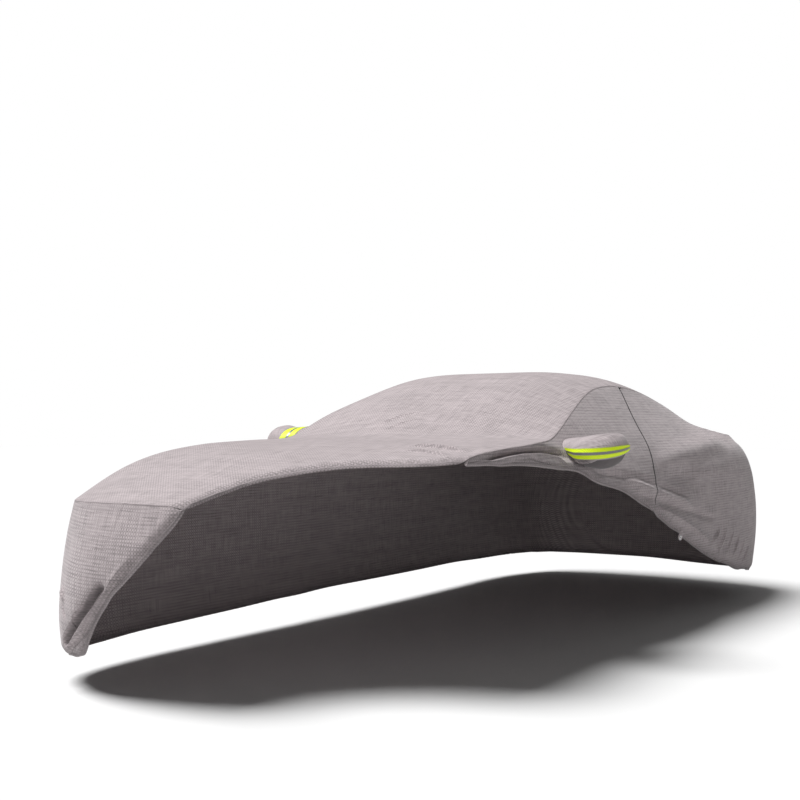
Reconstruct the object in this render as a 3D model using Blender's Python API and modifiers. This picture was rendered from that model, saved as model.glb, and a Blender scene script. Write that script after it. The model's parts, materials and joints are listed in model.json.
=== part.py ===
"""A fitted car cover, hanging as it does while it is pulled on: it lies over the roof, the whole right side and the
tail, and its front left corner is pulled up, so that its hem climbs from the front right corner over the nose and
the bonnet and comes down along the left side.

Metres, +Z up. The tables give the inside of the cloth in the cover's own measures: X to the left, Y to the tail with
0 at mid length, Z above the ground. The empty cover_datum moves all of it, so that the part's origin lies under the
crown of the roof, where the cover is held up.
"""
import math

import bmesh
import bpy
import numpy as np
from mathutils import Matrix, Vector
from mathutils.bvhtree import BVHTree

# ---- driving sizes
SHEET = 0.0025              # the cloth
HEM_SHEET = 0.005           # the turned hem with its elastic
HEM_WIDTH = 0.028
GAP = 0.0003                # between pieces that are sewn edge to edge
NOSE_SEAM_GAP = 0.0009      # the nose seam runs down a trough, where its edges lean together
ROOF_Y, ROOF_Z = 0.44, 1.4245   # the crown of the roof, inside the cloth

ROWS = 12                   # facets from the seam down to the hem
RIGHT_COLUMNS = 11          # facets of the top panel's front edge: along the nose seam
NOSE_COLUMNS = 5            # how many of those lie over the nose panel
HEM_COLUMNS = 11            # and along the hem that climbs over the bonnet
SETTLE_STEPS = 12           # rounds in which a skirt's points settle between its slanting edges
FAN_SHARE = 0.45            # the top panel's columns fan out from the hem over this share of its length
BACK_SPLIT = -0.2           # where the column that starts at the corner of the hem ends, across the tail seam

ZIP_WIDTH = 0.008
ZIP_THICKNESS = 0.0035

# ---- the covered shape: a row for each cross-section from the nose to the tail
# The top runs from its right rail to its left rail, through its centre line. Away from the centre its height falls
# with the power crown and its place along Y moves with the power sweep. right_lift raises the right rail.
TOP_COLUMNS = ("centre_y", "centre_z", "rail_x", "rail_y", "rail_z", "crown", "sweep", "right_lift")
TOP_ROWS = {
    "nose_seam":    (-2.350, 0.808, 0.808, -2.125, 0.790, 3.0, 3.5, 0.000),
    "bonnet_lip":   (-2.170, 0.858, 0.840, -1.980, 0.862, 3.0, 3.0, -0.012),
    "bonnet_front": (-1.780, 0.965, 0.868, -1.680, 0.957, 3.0, 2.0, 0.000),
    "bonnet_mid":   (-1.340, 1.030, 0.872, -1.280, 1.022, 3.0, 2.0, 0.000),
    "bonnet_rear":  (-1.020, 1.050, 0.850, -0.900, 1.040, 3.0, 2.0, 0.000),
    "screen_foot":  (-0.800, 1.085, 0.790, -0.610, 1.060, 3.0, 2.0, 0.000),
    "screen_low":   (-0.665, 1.142, 0.766, -0.482, 1.103, 3.2, 2.0, 0.030),
    "screen_mid":   (-0.400, 1.262, 0.712, -0.230, 1.195, 3.6, 2.0, 0.040),
    "screen_head":  (-0.020, 1.388, 0.632, 0.150, 1.305, 4.0, 2.0, 0.035),
    "roof_mid":     (0.420, 1.424, 0.592, 0.520, 1.342, 4.0, 2.0, 0.005),
    "roof_rear":    (0.880, 1.402, 0.590, 0.900, 1.318, 4.0, 2.0, 0.000),
    "rear_screen":  (1.340, 1.285, 0.615, 1.280, 1.228, 3.4, 2.0, 0.000),
    "deck_front":   (1.740, 1.155, 0.660, 1.620, 1.122, 2.6, 2.0, 0.000),
    "deck_mid":     (2.080, 1.105, 0.705, 1.930, 1.072, 2.6, 2.0, 0.000),
    "tail_seam":    (2.380, 1.080, 0.725, 2.200, 1.046, 3.0, 3.0, 0.000),
}

# The skirt hangs from that outline: a row for each place round it. heading is the way that the skirt faces, in
# degrees from the side (-90 forwards, 90 backwards). The _out columns say how far it stands out from the seam, at
# the belt line, at its widest and at the full hem; bow bulges it between the seam and the belt.
SKIRT_COLUMNS = ("heading", "bow", "belt_out", "belt_z", "wide_out", "wide_z", "hem_out", "hem_z")
SKIRT_ROWS = {
    "nose_centre":  (-90, 0.000, 0.030, 0.690, 0.060, 0.48, 0.030, 0.168),
    "nose_mid":     (-84, 0.000, 0.030, 0.690, 0.065, 0.48, 0.030, 0.168),
    "nose_corner":  (-42, 0.000, 0.030, 0.690, 0.062, 0.42, 0.050, 0.115),
    "bonnet_lip":   (-14, 0.000, 0.050, 0.760, 0.075, 0.45, 0.055, 0.11),
    "bonnet_front": (-4, 0.000, 0.050, 0.850, 0.082, 0.50, 0.060, 0.12),
    "bonnet_mid":   (0, 0.000, 0.050, 0.900, 0.085, 0.52, 0.060, 0.13),
    "bonnet_rear":  (0, 0.000, 0.072, 0.910, 0.105, 0.54, 0.075, 0.14),
    "screen_foot":  (0, 0.000, 0.115, 0.920, 0.160, 0.54, 0.130, 0.15),
    "screen_low":   (0, 0.004, 0.141, 0.920, 0.185, 0.54, 0.154, 0.15),
    "screen_mid":   (0, 0.010, 0.195, 0.920, 0.237, 0.54, 0.205, 0.16),
    "screen_head":  (0, 0.015, 0.275, 0.920, 0.316, 0.54, 0.290, 0.16),
    "roof_mid":     (0, 0.010, 0.312, 0.930, 0.358, 0.54, 0.330, 0.16),
    "roof_rear":    (0, 0.000, 0.312, 0.960, 0.368, 0.54, 0.340, 0.16),
    "rear_screen":  (0, -0.010, 0.278, 1.000, 0.355, 0.54, 0.330, 0.16),
    "deck_front":   (2, -0.010, 0.210, 1.020, 0.315, 0.54, 0.290, 0.15),
    "deck_mid":     (12, 0.000, 0.110, 1.025, 0.245, 0.54, 0.215, 0.15),
    "tail_corner":  (42, 0.000, 0.050, 0.980, 0.170, 0.48, 0.120, 0.15),
    "tail_mid":     (84, 0.000, 0.040, 0.960, 0.100, 0.52, 0.055, 0.15),
    "tail_centre":  (90, 0.000, 0.040, 0.960, 0.100, 0.52, 0.050, 0.15),
}
MID_ROW = 0.55              # where nose_mid and tail_mid stand, as a share of the half width
LOWER_BULGE = 0.012         # how far the skirt bulges between its widest line and its hem
TURN_DOWN = 0.2             # folds raise the skirt upwards at its seam, and straight out below this share of it
TURN_OUT = 0.7              # and they raise the top straight up as far out as this, leaning outwards beyond
FADE_TOP, FADE_SKIRT = 0.1, 0.12    # folds die out over these lengths before the seams of the nose and the tail

# ---- where the cloth ends and where it is sewn
# The hem over the bonnet: across is -1 at the right rail and 1 at the left rail, along runs back from the nose seam.
BONNET_HEM_COLUMNS = ("across", "along")
BONNET_HEM = {
    "nose_seam":   (0.104, 0.000),
    "bonnet_lip":  (0.106, 0.150),
    "rise":        (0.142, 0.314),
    "turn":        (0.330, 0.447),
    "bonnet_mid":  (0.480, 0.527),
    "left_half":   (0.680, 0.574),
    "left_edge":   (0.885, 0.607),
    "rail":        (1.000, 0.690),
}
BONNET_HALF_WIDTH = 0.84    # turns across into metres, to step evenly along that hem
# The hem of the left side, as a share of the skirt's full depth at each place round.
SIDE_HEM_COLUMNS = ("round", "share")
SIDE_HEM = {
    "rail":         (1.690, 0.020),
    "bonnet_mid":   (1.870, 0.064),
    "bonnet_rear":  (2.190, 0.100),
    "screen_foot":  (2.440, 0.155),
    "pocket_front": (2.600, 0.205),
    "under_pocket": (2.765, 0.315),
    "before_zip":   (3.110, 0.452),
    "zip":          (3.490, 0.603),
    "eyelet":       (3.975, 0.747),
    "haunch":       (4.520, 0.872),
    "pleats":       (5.150, 0.959),
    "tail":         (5.500, 1.000),
    "tail_centre":  (6.700, 1.000),
}
# Edges that run down the skirt, as places round it for shares of its full depth.
EDGE_COLUMNS = ("share", "round")
NOSE_HEM = {"seam": (0.00, 0.104), "corner": (0.06, 0.088), "lip": (0.17, 0.011), "notch": (0.32, -0.101),
            "fold": (0.49, -0.244), "lower": (0.60, -0.361), "low": (0.845, -0.528), "hem": (1.00, -0.620)}
NOSE_SEAM = {"seam": (0.00, -0.300), "high": (0.16, -0.345), "mid": (0.38, -0.439), "low": (0.66, -0.601),
             "hem": (1.00, -0.850)}
ZIP_LINE = {"rail": (0.00, 3.9055), "upper": (0.228, 3.699), "belt": (0.315, 3.661), "middle": (0.425, 3.575),
            "ridge": (0.553, 3.518), "hem": (0.603, 3.490)}
TAIL_SEAM = {"rail": (0.00, 5.298), "shoulder": (0.15, 5.150), "flank": (0.38, 4.980), "low": (0.60, 5.080),
             "hem": (1.00, 5.400)}

# ---- folds: x, y, z of each point that the fold's crest or trough runs through, half width and height
FOLD_COLUMNS = ("route", "half_width", "height")
FOLDS = {
    "bonnet_hem_trough": (((0.52, -1.52, 1.01), (0.66, -1.46, 1.01), (0.80, -1.42, 1.01), (0.88, -1.30, 1.01),
                           (0.87, -0.90, 1.01), (0.86, -0.66, 0.99), (0.91, -0.47, 0.91)), 0.050, -0.016),
    "side_ridge":  (((0.92, -0.10, 0.88), (0.94, 0.29, 0.78), (0.95, 0.78, 0.65)), 0.075, 0.016),
    "hem_ridge":   (((0.94, 0.22, 0.69), (0.95, 0.60, 0.58), (0.97, 1.12, 0.41)), 0.075, 0.014),
    "haunch_dip":  (((0.93, 0.42, 0.86), (0.95, 0.90, 0.80), (0.96, 1.35, 0.74)), 0.110, -0.016),
    "hem_tuck":    (((0.97, 1.12, 0.40), (0.97, 1.30, 0.50)), 0.070, -0.012),
    "nose_trough": (((-0.26, -2.43, 0.50), (-0.37, -2.42, 0.39), (-0.50, -2.39, 0.29), (-0.69, -2.29, 0.15)),
                    0.060, -0.028),
    "screen_crease": (((-0.19, -0.70, 1.12), (0.05, -0.58, 1.18)), 0.080, 0.008),
}
PLEAT_COUNT = 5             # gathers over the hem's elastic at the rear left corner
PLEAT_FROM, PLEAT_PITCH = (0.96, 1.40, 0.22), 0.11
PLEAT_RISE, PLEAT_HALF_WIDTH, PLEAT_HEIGHT = 0.16, 0.055, 0.014
FADE_START, FADE_RATE = 0.15, 4     # a fold starts at this share of its height, and is full a quarter of its way in

# ---- mirror pockets: a row for each ring, from the side panel out. A ring stands upright, from its front point to
# its rear point. Two rings more divide the flare between the base and the first row.
POCKET_COLUMNS = ("front_x", "front_y", "rear_x", "rear_y", "centre_z", "half_height")
POCKET_BASE = (-0.460, 0.120, 1.000, 0.058)      # centre_y, half_depth, centre_z, half_height on the side panel
POCKET_ROWS = {
    "flare":    (0.917, -0.630, 0.928, -0.322, 0.990, 0.080),
    "front":    (0.982, -0.627, 0.956, -0.323, 0.991, 0.089),
    "outer":    (1.040, -0.592, 0.970, -0.324, 0.994, 0.089),
    "shoulder": (1.077, -0.522, 0.984, -0.326, 1.001, 0.084),
    "end":      (1.089, -0.440, 0.998, -0.328, 1.010, 0.072),
    "cap":      (1.078, -0.370, 1.015, -0.331, 1.017, 0.046),
}
POCKET_TIP = (1.048, -0.338, 1.018)
RAY_FROM = 1.5              # rays from this far out find the side panel, where the base goes
HOLE_CUT = ((0.6,), (1.1,))  # how far from the middle the cutter of its hole starts and ends
POCKET_STAND = 0.008        # the base stands this far out of the side panel before it flares
FLARE_SHARES = (0.30, 0.60, 0.70)
# The right pocket sits further back and higher, its base most of all.
RIGHT_BASE_SHIFT = (0, 0.030, 0.055)
RIGHT_RING_SHIFT = (0, 0.020, 0.035)
POCKET_ANGLES = (0, 28, 54, 76, 89, 96, 109, 128, 148, 170, 192, 215, 240, 265, 290, 315, 338)
# The reflective tape runs along the left pocket, between two angles each (degrees from the top, forwards), and round
# the flare of the right one, between two rings each.
TAPE_ANGLES = {"tape_upper": (76, 89), "strip": (89, 96), "tape_lower": (96, 109)}
TAPE_RINGS = {"tape_inner": (2, 3), "strip": (3, 4), "tape_outer": (4, 5)}
TAPE_RING_ANGLES = (315, 148)   # from the back over the top to the front
TAPE_THICKNESS = 0.001
TAPE_INSET = 0.0004         # off either edge, so that neighbouring tapes lie apart

# ---- the eyelet and the tab that holds it, on the left hem
EYELET_ROUND = 3.900        # where it sits, round the outline
FRAME_STEP = 0.03           # how far round and up the cloth's slope is read there
EYELET_BELOW = 0.016        # its middle below the cloth's edge
EYELET_HOLE, EYELET_BARREL, EYELET_FLANGE = 0.006, 0.008, 0.012    # radii
EYELET_FLANGE_THICKNESS = 0.001
EYELET_STEPS = 20
TAB_WIDTH, TAB_OVERLAP, TAB_ROUND = 0.060, 0.024, 0.016
TAB_STEPS = 12
TAB_GAP = 0.0006            # the flat tab clears the curved hem by this

MATERIALS = {               # colour, roughness, metallic
    "cloth":        ((0.46, 0.42, 0.43, 1), 0.85, 0.0),
    "yellow_tape":  ((0.72, 0.95, 0.02, 1), 0.50, 0.0),
    "silver_strip": ((0.42, 0.42, 0.45, 1), 0.40, 0.0),
    "zip_tape":     ((0.03, 0.03, 0.03, 1), 0.60, 0.0),
    "metal":        ((0.75, 0.75, 0.76, 1), 0.25, 1.0),
}


def curve(knots, values, at):
    """Values on smooth curves: row i of values (n, k, d) runs over row i of knots (n, k) and is read at at[i]."""
    width = np.diff(knots, axis=1)[..., None]
    slope = np.diff(values, axis=1) / width
    inner = (slope[:, :-1] * width[:, 1:] + slope[:, 1:] * width[:, :-1]) / (width[:, :-1] + width[:, 1:])
    tangent = np.concatenate([slope[:, :1], inner, slope[:, -1:]], axis=1)
    piece = (knots[:, 1:-1] <= at[:, None]).sum(axis=1)
    row = np.arange(len(at))
    step = width[row, piece]
    t = (at - knots[row, piece])[:, None] / step
    start, end = values[row, piece], values[row, piece + 1]
    leave, arrive = tangent[row, piece] * step, tangent[row, piece + 1] * step
    return ((1 + 2 * t) * (1 - t) ** 2 * start + t * (1 - t) ** 2 * leave
            + t * t * (3 - 2 * t) * end - t * t * (1 - t) * arrive)


def read_table(rows, knots, at):
    """The columns of a table at places between its rows."""
    values = np.array(list(rows.values()), float)
    at = np.asarray(at, float)
    many = len(at)
    knots = np.broadcast_to(np.asarray(knots, float), (many, len(knots)))
    return curve(knots, np.broadcast_to(values, (many, *values.shape)), at)


def read_line(rows, at):
    """The second column of a two-column table, read at places in its first column."""
    values = np.array(list(rows.values()), float)
    return read_table(dict(enumerate(values[:, 1:])), values[:, 0], at)[:, 0]


def smooth_step(value):
    value = np.clip(value, 0, 1)
    return value * value * (3 - 2 * value)


def row_places():
    """Where each row of the top stands, by the length between it and the first, half way from centre to rail."""
    rows = np.array(list(TOP_ROWS.values()))
    middle = (rows[:, [0, 1]] + rows[:, [3, 4]]) / 2
    return np.concatenate([[0], np.cumsum(np.linalg.norm(np.diff(middle, axis=0), axis=1))])


TOP_AT = row_places()
LENGTH = TOP_AT[-1]
HALF_ROUND = LENGTH + 2     # round the outline: nose centre 0, nose corner 1, tail corner 1 + LENGTH
SKIRT_AT = np.concatenate([[0, MID_ROW], 1 + TOP_AT, [HALF_ROUND - MID_ROW, HALF_ROUND]])


def over_top(across, along):
    """The inside of the top: across from -1 at the right rail to 1 at the left, along from the nose to the tail."""
    centre_y, centre_z, rail_x, rail_y, rail_z, crown, sweep, right_lift = read_table(TOP_ROWS, TOP_AT, along).T
    off = np.abs(across)
    z = centre_z + (rail_z - centre_z) * off ** crown + right_lift * np.clip(-across, 0, 1) ** 2
    return np.stack([across * rail_x, centre_y + (rail_y - centre_y) * off ** sweep, z], axis=1)


def split_round(place):
    """A place round the outline as its side, 1 left or -1 right, and its distance from the nose's centre."""
    side = np.where(place < 0, -1.0, 1.0)
    place = np.abs(place)
    side = np.where(place > HALF_ROUND, -side, side)
    return side, np.where(place > HALF_ROUND, 2 * HALF_ROUND - place, place)


def skirt_lines(place):
    """The points that the skirt runs through, from its seam to its full hem, and the way out at each place."""
    side, place = split_round(place)
    heading, bow, belt_out, belt_z, wide_out, wide_z, hem_out, hem_z = read_table(SKIRT_ROWS, SKIRT_AT, place).T
    seam = over_top(side * np.clip(np.minimum(place, HALF_ROUND - place), 0, 1), np.clip(place - 1, 0, LENGTH))
    angle = np.radians(heading)
    out = np.stack([side * np.cos(angle), np.sin(angle), np.zeros_like(angle)], axis=1)

    def stand(distance, height):
        point = seam + out * distance[:, None]
        point[:, 2] = height
        return point

    belt, wide, hem = stand(belt_out, belt_z), stand(wide_out, wide_z), stand(hem_out, hem_z)
    upper = (seam + belt) / 2 + out * bow[:, None]
    lower = (wide + hem) / 2 + out * LOWER_BULGE
    return np.stack([seam, upper, belt, wide, lower, hem], axis=1), out


def skirt_depth(place):
    """The length of the skirt from its seam to its full hem."""
    lines, _ = skirt_lines(np.atleast_1d(np.asarray(place, float)))
    return np.linalg.norm(np.diff(lines, axis=1), axis=2).sum(axis=1)


def down_skirt(place, share):
    """The inside of the skirt at a share of its full depth, and the way that folds raise it there."""
    lines, out = skirt_lines(place)
    chords = np.linalg.norm(np.diff(lines, axis=1), axis=2)
    knots = np.concatenate([np.zeros((len(lines), 1)), np.cumsum(chords, axis=1)], axis=1)
    points = curve(knots, lines, share * knots[:, -1])
    up = (1 - smooth_step(share / TURN_DOWN))[:, None] * np.array([0, 0, 1.0])
    raised = out + up
    return points, raised / np.linalg.norm(raised, axis=1, keepdims=True)


def fold_routes():
    """Every fold's route, half width and height, the pleats of the rear corner included."""
    folds = [(np.array(route), half_width, height) for route, half_width, height in FOLDS.values()]
    for pleat in range(PLEAT_COUNT):
        foot = np.array(PLEAT_FROM) + (0, pleat * PLEAT_PITCH, -0.02 * pleat)
        head = foot + (0, 0.03 - 0.02 * pleat, PLEAT_RISE)
        folds.append((np.array([foot, head]), PLEAT_HALF_WIDTH, PLEAT_HEIGHT))
    return folds


def relief(points):
    """How far the folds raise the cloth at each point. A fold fades towards both its ends."""
    total = np.zeros(len(points))
    for route, half_width, height in fold_routes():
        legs = np.linalg.norm(np.diff(route, axis=0), axis=1)
        travelled = np.concatenate([[0], np.cumsum(legs)])
        nearest, at = np.full(len(points), np.inf), np.zeros(len(points))
        for start, end, leg, before in zip(route[:-1], route[1:], legs, travelled):
            t = np.clip((points - start) @ (end - start) / leg ** 2, 0, 1)
            distance = np.linalg.norm(points - start - t[:, None] * (end - start), axis=1)
            closer = distance < nearest
            nearest, at = np.where(closer, distance, nearest), np.where(closer, before + t * leg, at)
        to_end = np.minimum(at, travelled[-1] - at) / travelled[-1]
        fade = smooth_step(FADE_RATE * to_end + FADE_START)
        total += height * fade * np.clip(1 - (nearest / half_width) ** 2, 0, None) ** 2
    return total


def top_cloth(across, along):
    """The top with its folds. They lean outwards at the rails, as the skirt's do, and end before both end seams."""
    points = over_top(across, along)
    lean = smooth_step((np.abs(across) - TURN_OUT) / (1 - TURN_OUT)) * np.sign(across)
    raised = np.stack([lean, np.zeros_like(lean), np.ones_like(lean)], axis=1)
    raised /= np.linalg.norm(raised, axis=1, keepdims=True)
    ends = smooth_step(along / FADE_TOP) * smooth_step((LENGTH - along) / FADE_TOP)
    return points + raised * (relief(points) * ends)[:, None]


def skirt_cloth(place, share):
    """The skirt with its folds, which end before the seams of the nose and the tail."""
    points, raised = down_skirt(place, share)
    _, distance = split_round(place)
    at_end = (distance < 1) | (distance > 1 + LENGTH)
    ends = np.where(at_end, smooth_step(share / FADE_SKIRT), 1)
    return points + raised * (relief(points) * ends)[:, None]


def stations():
    """Shares of the top panel's length where its cross rows lie: close by the hem, the pocket and the pleats."""
    spans = ((0.007, 1), (0.200, 9), (0.330, 7), (0.560, 9), (0.800, 9), (0.960, 10), (1.000, 2))
    shares, start = [0.0], 0.0
    for end, count in spans:
        shares += [start + (end - start) * (step + 1) / count for step in range(count)]
        start = end
    return np.array(shares)


STATIONS = stations()


def bonnet_edge():
    """The top panel's front edge, point by point: the nose seam from the right rail, then the hem to the left rail."""
    hem = np.array(list(BONNET_HEM.values()))
    scaled = hem * (BONNET_HALF_WIDTH, 1)
    lengths = np.concatenate([[0], np.cumsum(np.linalg.norm(np.diff(scaled, axis=0), axis=1))])
    at = np.linspace(0, lengths[-1], HEM_COLUMNS + 1)[1:]
    climb = read_table(dict(enumerate(hem)), lengths, at)
    split = NOSE_SEAM["seam"][1]
    right = np.linspace(-1, split, RIGHT_COLUMNS - NOSE_COLUMNS + 1)
    seam = np.concatenate([right, np.linspace(split, hem[0, 0], NOSE_COLUMNS + 1)[1:]])
    return np.concatenate([np.stack([seam, np.zeros_like(seam)], axis=1), climb])


BONNET_EDGE = bonnet_edge()
BACK_EDGE = np.concatenate([np.linspace(-1, BACK_SPLIT, RIGHT_COLUMNS + 1),
                            np.linspace(BACK_SPLIT, 1, HEM_COLUMNS + 1)[1:]])


def top_grid():
    """The top panel's points, rows from the front edge to the tail seam."""
    rows = []
    for share in STATIONS:
        fan = 1 - (1 - min(share / FAN_SHARE, 1)) ** 2
        across = BONNET_EDGE[:, 0] + (BACK_EDGE - BONNET_EDGE[:, 0]) * fan
        along = BONNET_EDGE[:, 1] + (LENGTH - BONNET_EDGE[:, 1]) * share
        rows.append(top_cloth(across, along))
    return np.array(rows)


def seam_places(first, last):
    """The places round the outline, between two of them, where the top panel has points on its seams."""
    left = 1 + BONNET_EDGE[-1, 1] + (LENGTH - BONNET_EDGE[-1, 1]) * STATIONS
    right = -1 - LENGTH * STATIONS
    tail = HALF_ROUND - BACK_EDGE
    nose = BONNET_EDGE[:RIGHT_COLUMNS + 1, 0]
    right_tail = 2 * HALF_ROUND + right
    places = np.concatenate([left, right, tail, tail - 2 * HALF_ROUND, nose, right_tail])
    places = places[(places > first + 1e-6) & (places < last - 1e-6)]
    return np.concatenate([[first], np.unique(np.round(places, 6)), [last]])


def skirt_grid(first_edge, last_edge, hem):
    """A skirt panel's points, rows from the seam down. Each edge says where it runs round for shares of the depth."""
    tops = seam_places(first_edge(np.zeros(1))[0], last_edge(np.zeros(1))[0])
    across = (tops - tops[0]) / (tops[-1] - tops[0])
    rows = []
    for row in range(ROWS + 1):
        place = tops.copy()
        for _ in range(SETTLE_STEPS):
            full = hem(place)
            depth = skirt_depth(place)
            turn = np.clip(1 - HEM_WIDTH / (full * depth), 0.6, None)
            share = full * (1.0 if row == ROWS else turn * row / (ROWS - 1))
            share = np.maximum(share, GAP / depth)
            first, last = first_edge(share), last_edge(share)
            place = first + (last - first) * across
        rows.append(skirt_cloth(place, share))
    return np.array(rows)


def full_hem(place):
    return np.ones_like(place)


def left_hem(place):
    return read_line(SIDE_HEM, np.clip(place, SIDE_HEM["rail"][0], SIDE_HEM["tail_centre"][0]))


def edge(rows, shift=0.0, mirrored=False):
    """A function that gives an edge's place round the outline, moved along by shift, for shares of the depth."""
    def place(share):
        line = read_line(rows, np.clip(share, 0, 1)) + shift
        return 2 * HALF_ROUND - line if mirrored else line
    return place


# ---- Blender side
collection = bpy.data.collections.new("car_cover")
cutters = bpy.data.collections.new("cutters")


def clear_scene():
    for thing in list(bpy.data.objects):
        bpy.data.objects.remove(thing, do_unlink=True)
    for group in (collection, cutters):
        bpy.context.scene.collection.children.link(group)


def make_material(name):
    colour, roughness, metallic = MATERIALS[name]
    material = bpy.data.materials.new(name)
    material.use_nodes = True
    shader = material.node_tree.nodes["Principled BSDF"]
    shader.inputs["Base Color"].default_value = colour
    shader.inputs["Roughness"].default_value = roughness
    shader.inputs["Metallic"].default_value = metallic
    material.diffuse_color = colour
    return material


def make_datum():
    """The empty that every piece hangs from. It puts the part's origin under the crown of the roof."""
    datum = bpy.data.objects.new("cover_datum", None)
    datum.location = (0, -ROOF_Y, -ROOF_Z)
    collection.objects.link(datum)
    return datum


def add_object(name, mesh, material, group=collection):
    thing = bpy.data.objects.new(name, mesh)
    thing.parent = bpy.data.objects["cover_datum"]
    if material:
        mesh.materials.append(bpy.data.materials[material])
    group.objects.link(thing)
    return thing


def loft(name, grid, closed=False, tip=None, outwards=1, diagonals="BEAUTY"):
    """A mesh of triangles through the points of a grid. closed joins the last column to the first, tip closes the
    last row with a fan, and outwards is -1 where the columns run the other way round."""
    rows, columns = grid.shape[:2]
    builder = bmesh.new()
    points = [[builder.verts.new(point) for point in row] for row in grid]
    for upper, lower in zip(points[:-1], points[1:]):
        for column in range(columns if closed else columns - 1):
            after = (column + 1) % columns
            builder.faces.new((upper[column], lower[column], lower[after], upper[after])[::outwards])
    if tip is not None:
        peak = builder.verts.new(tip)
        for column in range(columns):
            builder.faces.new((points[-1][column], peak, points[-1][(column + 1) % columns])[::outwards])
    bmesh.ops.triangulate(builder, faces=builder.faces, quad_method=diagonals)
    mesh = bpy.data.meshes.new(name)
    builder.to_mesh(mesh)
    builder.free()
    mesh.shade_smooth()
    return mesh


def add_thickness(thing, thickness, thin_share=1.0):
    """Solidify outwards. thin_share is the share of the thickness that is left away from the hem."""
    solid = thing.modifiers.new("thickness", "SOLIDIFY")
    solid.thickness = thickness
    solid.offset = 1
    solid.use_even_offset = True
    if thin_share < 1:
        solid.vertex_group = "hem"
        solid.thickness_vertex_group = thin_share


def add_panel(name, grid, hem_points, outwards=1):
    """A panel of cloth. hem_points, a grid of true and false, says where its hem lies, which is thicker."""
    thing = add_object(name, loft(name, grid, outwards=outwards), "cloth")
    hem = thing.vertex_groups.new(name="hem")
    hem.add([int(i) for i in np.flatnonzero(hem_points.reshape(-1))], 1.0, "REPLACE")
    add_thickness(thing, HEM_SHEET, thin_share=SHEET / HEM_SHEET)
    return thing


def hem_mask(grid, bottom=False, last_column=False):
    mask = np.zeros(grid.shape[:2], bool)
    if bottom:
        mask[-2:] = True
    if last_column:
        mask[:, -1] = True
    return mask


def make_top_panel():
    grid = top_grid()
    mask = np.zeros(grid.shape[:2], bool)
    mask[:2, RIGHT_COLUMNS:] = True
    add_panel("top_panel", grid, mask, outwards=-1)


def make_skirt_panels():
    half_zip = ZIP_WIDTH / 2 + GAP
    rail = BONNET_EDGE[-1, 1]
    front = skirt_grid(lambda share: np.full_like(share, 1 + rail), edge(ZIP_LINE, -half_zip), left_hem)
    add_panel("side_panel_left_front", front, hem_mask(front, bottom=True))
    rear = skirt_grid(edge(ZIP_LINE, half_zip), edge(TAIL_SEAM, -GAP / 2), left_hem)
    add_panel("side_panel_left_rear", rear, hem_mask(rear, bottom=True))
    tail = skirt_grid(edge(TAIL_SEAM, GAP / 2), edge(TAIL_SEAM, GAP / 2, mirrored=True), left_hem_then_full)
    add_panel("tail_panel", tail, hem_mask(tail, bottom=True))
    right = skirt_grid(right_tail_edge, edge(NOSE_SEAM, -NOSE_SEAM_GAP / 2), full_hem)
    add_panel("side_panel_right", right, hem_mask(right, bottom=True))
    nose = skirt_grid(edge(NOSE_SEAM, NOSE_SEAM_GAP / 2), edge(NOSE_HEM), full_hem)
    add_panel("nose_panel", nose, hem_mask(nose, bottom=True, last_column=True))


def right_tail_edge(share):
    return -edge(TAIL_SEAM, -GAP / 2)(share)


def left_hem_then_full(place):
    return np.where(place < HALF_ROUND, left_hem(np.minimum(place, HALF_ROUND)), 1.0)


def make_zip():
    """The zip of the left side: its tape and coil, closed, from the rail down to the hem."""
    grid = skirt_grid(edge(ZIP_LINE, -ZIP_WIDTH / 2), edge(ZIP_LINE, ZIP_WIDTH / 2), left_hem)
    thing = add_object("zip_left", loft("zip_left", grid[:, [0, -1]]), "zip_tape")
    add_thickness(thing, ZIP_THICKNESS)


def pocket_shifts(side):
    """How far a pocket's base and its rings lie from the places that the table gives."""
    return (Vector(), Vector()) if side > 0 else (Vector(RIGHT_BASE_SHIFT), Vector(RIGHT_RING_SHIFT))


def pocket_rings(side, panel):
    """The rings of a mirror pocket, from the side panel out."""
    angle = np.radians(POCKET_ANGLES)
    base_shift, ring_shift = pocket_shifts(side)
    centre_y, half_depth, centre_z, half_height = POCKET_BASE
    base_y, base_z = centre_y - half_depth * np.sin(angle), centre_z + half_height * np.cos(angle)
    tree = BVHTree.FromPolygons([v.co for v in panel.data.vertices], [tuple(f.vertices) for f in panel.data.polygons])
    inwards = Vector((-side, 0, 0))
    starts = np.stack([np.full_like(base_y, side * RAY_FROM), base_y, base_z], axis=1) + base_shift
    base = np.array([tree.ray_cast(Vector(start), inwards)[0] for start in starts])
    stand = base + (side * POCKET_STAND, 0, 0)
    forward = (1 + np.sin(angle)) / 2
    outer = []
    for front_x, front_y, rear_x, rear_y, centre_z, half_height in POCKET_ROWS.values():
        ring_x, ring_y = rear_x + (front_x - rear_x) * forward, rear_y + (front_y - rear_y) * forward
        outer.append(np.stack([side * ring_x, ring_y, centre_z + half_height * np.cos(angle)], axis=1) + ring_shift)
    flare = [stand + (outer[0] - stand) * share for share in FLARE_SHARES]
    return np.array([base, stand, *flare, *outer])


def cut_pocket_hole(side, panel, ring):
    """The opening of the side panel that the pocket is sewn into, from the ring of its outside there."""
    ends = np.stack([ring, ring])
    ends[:, :, 0] = side * np.array(HOLE_CUT)
    mesh = loft(panel.name + "_hole", ends, closed=True, outwards=side)
    builder = bmesh.new()
    builder.from_mesh(mesh)
    bmesh.ops.holes_fill(builder, edges=builder.edges)
    bmesh.ops.recalc_face_normals(builder, faces=builder.faces)
    builder.to_mesh(mesh)
    builder.free()
    cutter = add_object(mesh.name, mesh, None, cutters)
    cutter.hide_render = True
    cutter.display_type = "WIRE"
    hole = panel.modifiers.new("pocket_hole", "BOOLEAN")
    hole.operation = "DIFFERENCE"
    hole.solver = "EXACT"
    hole.object = cutter


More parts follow.
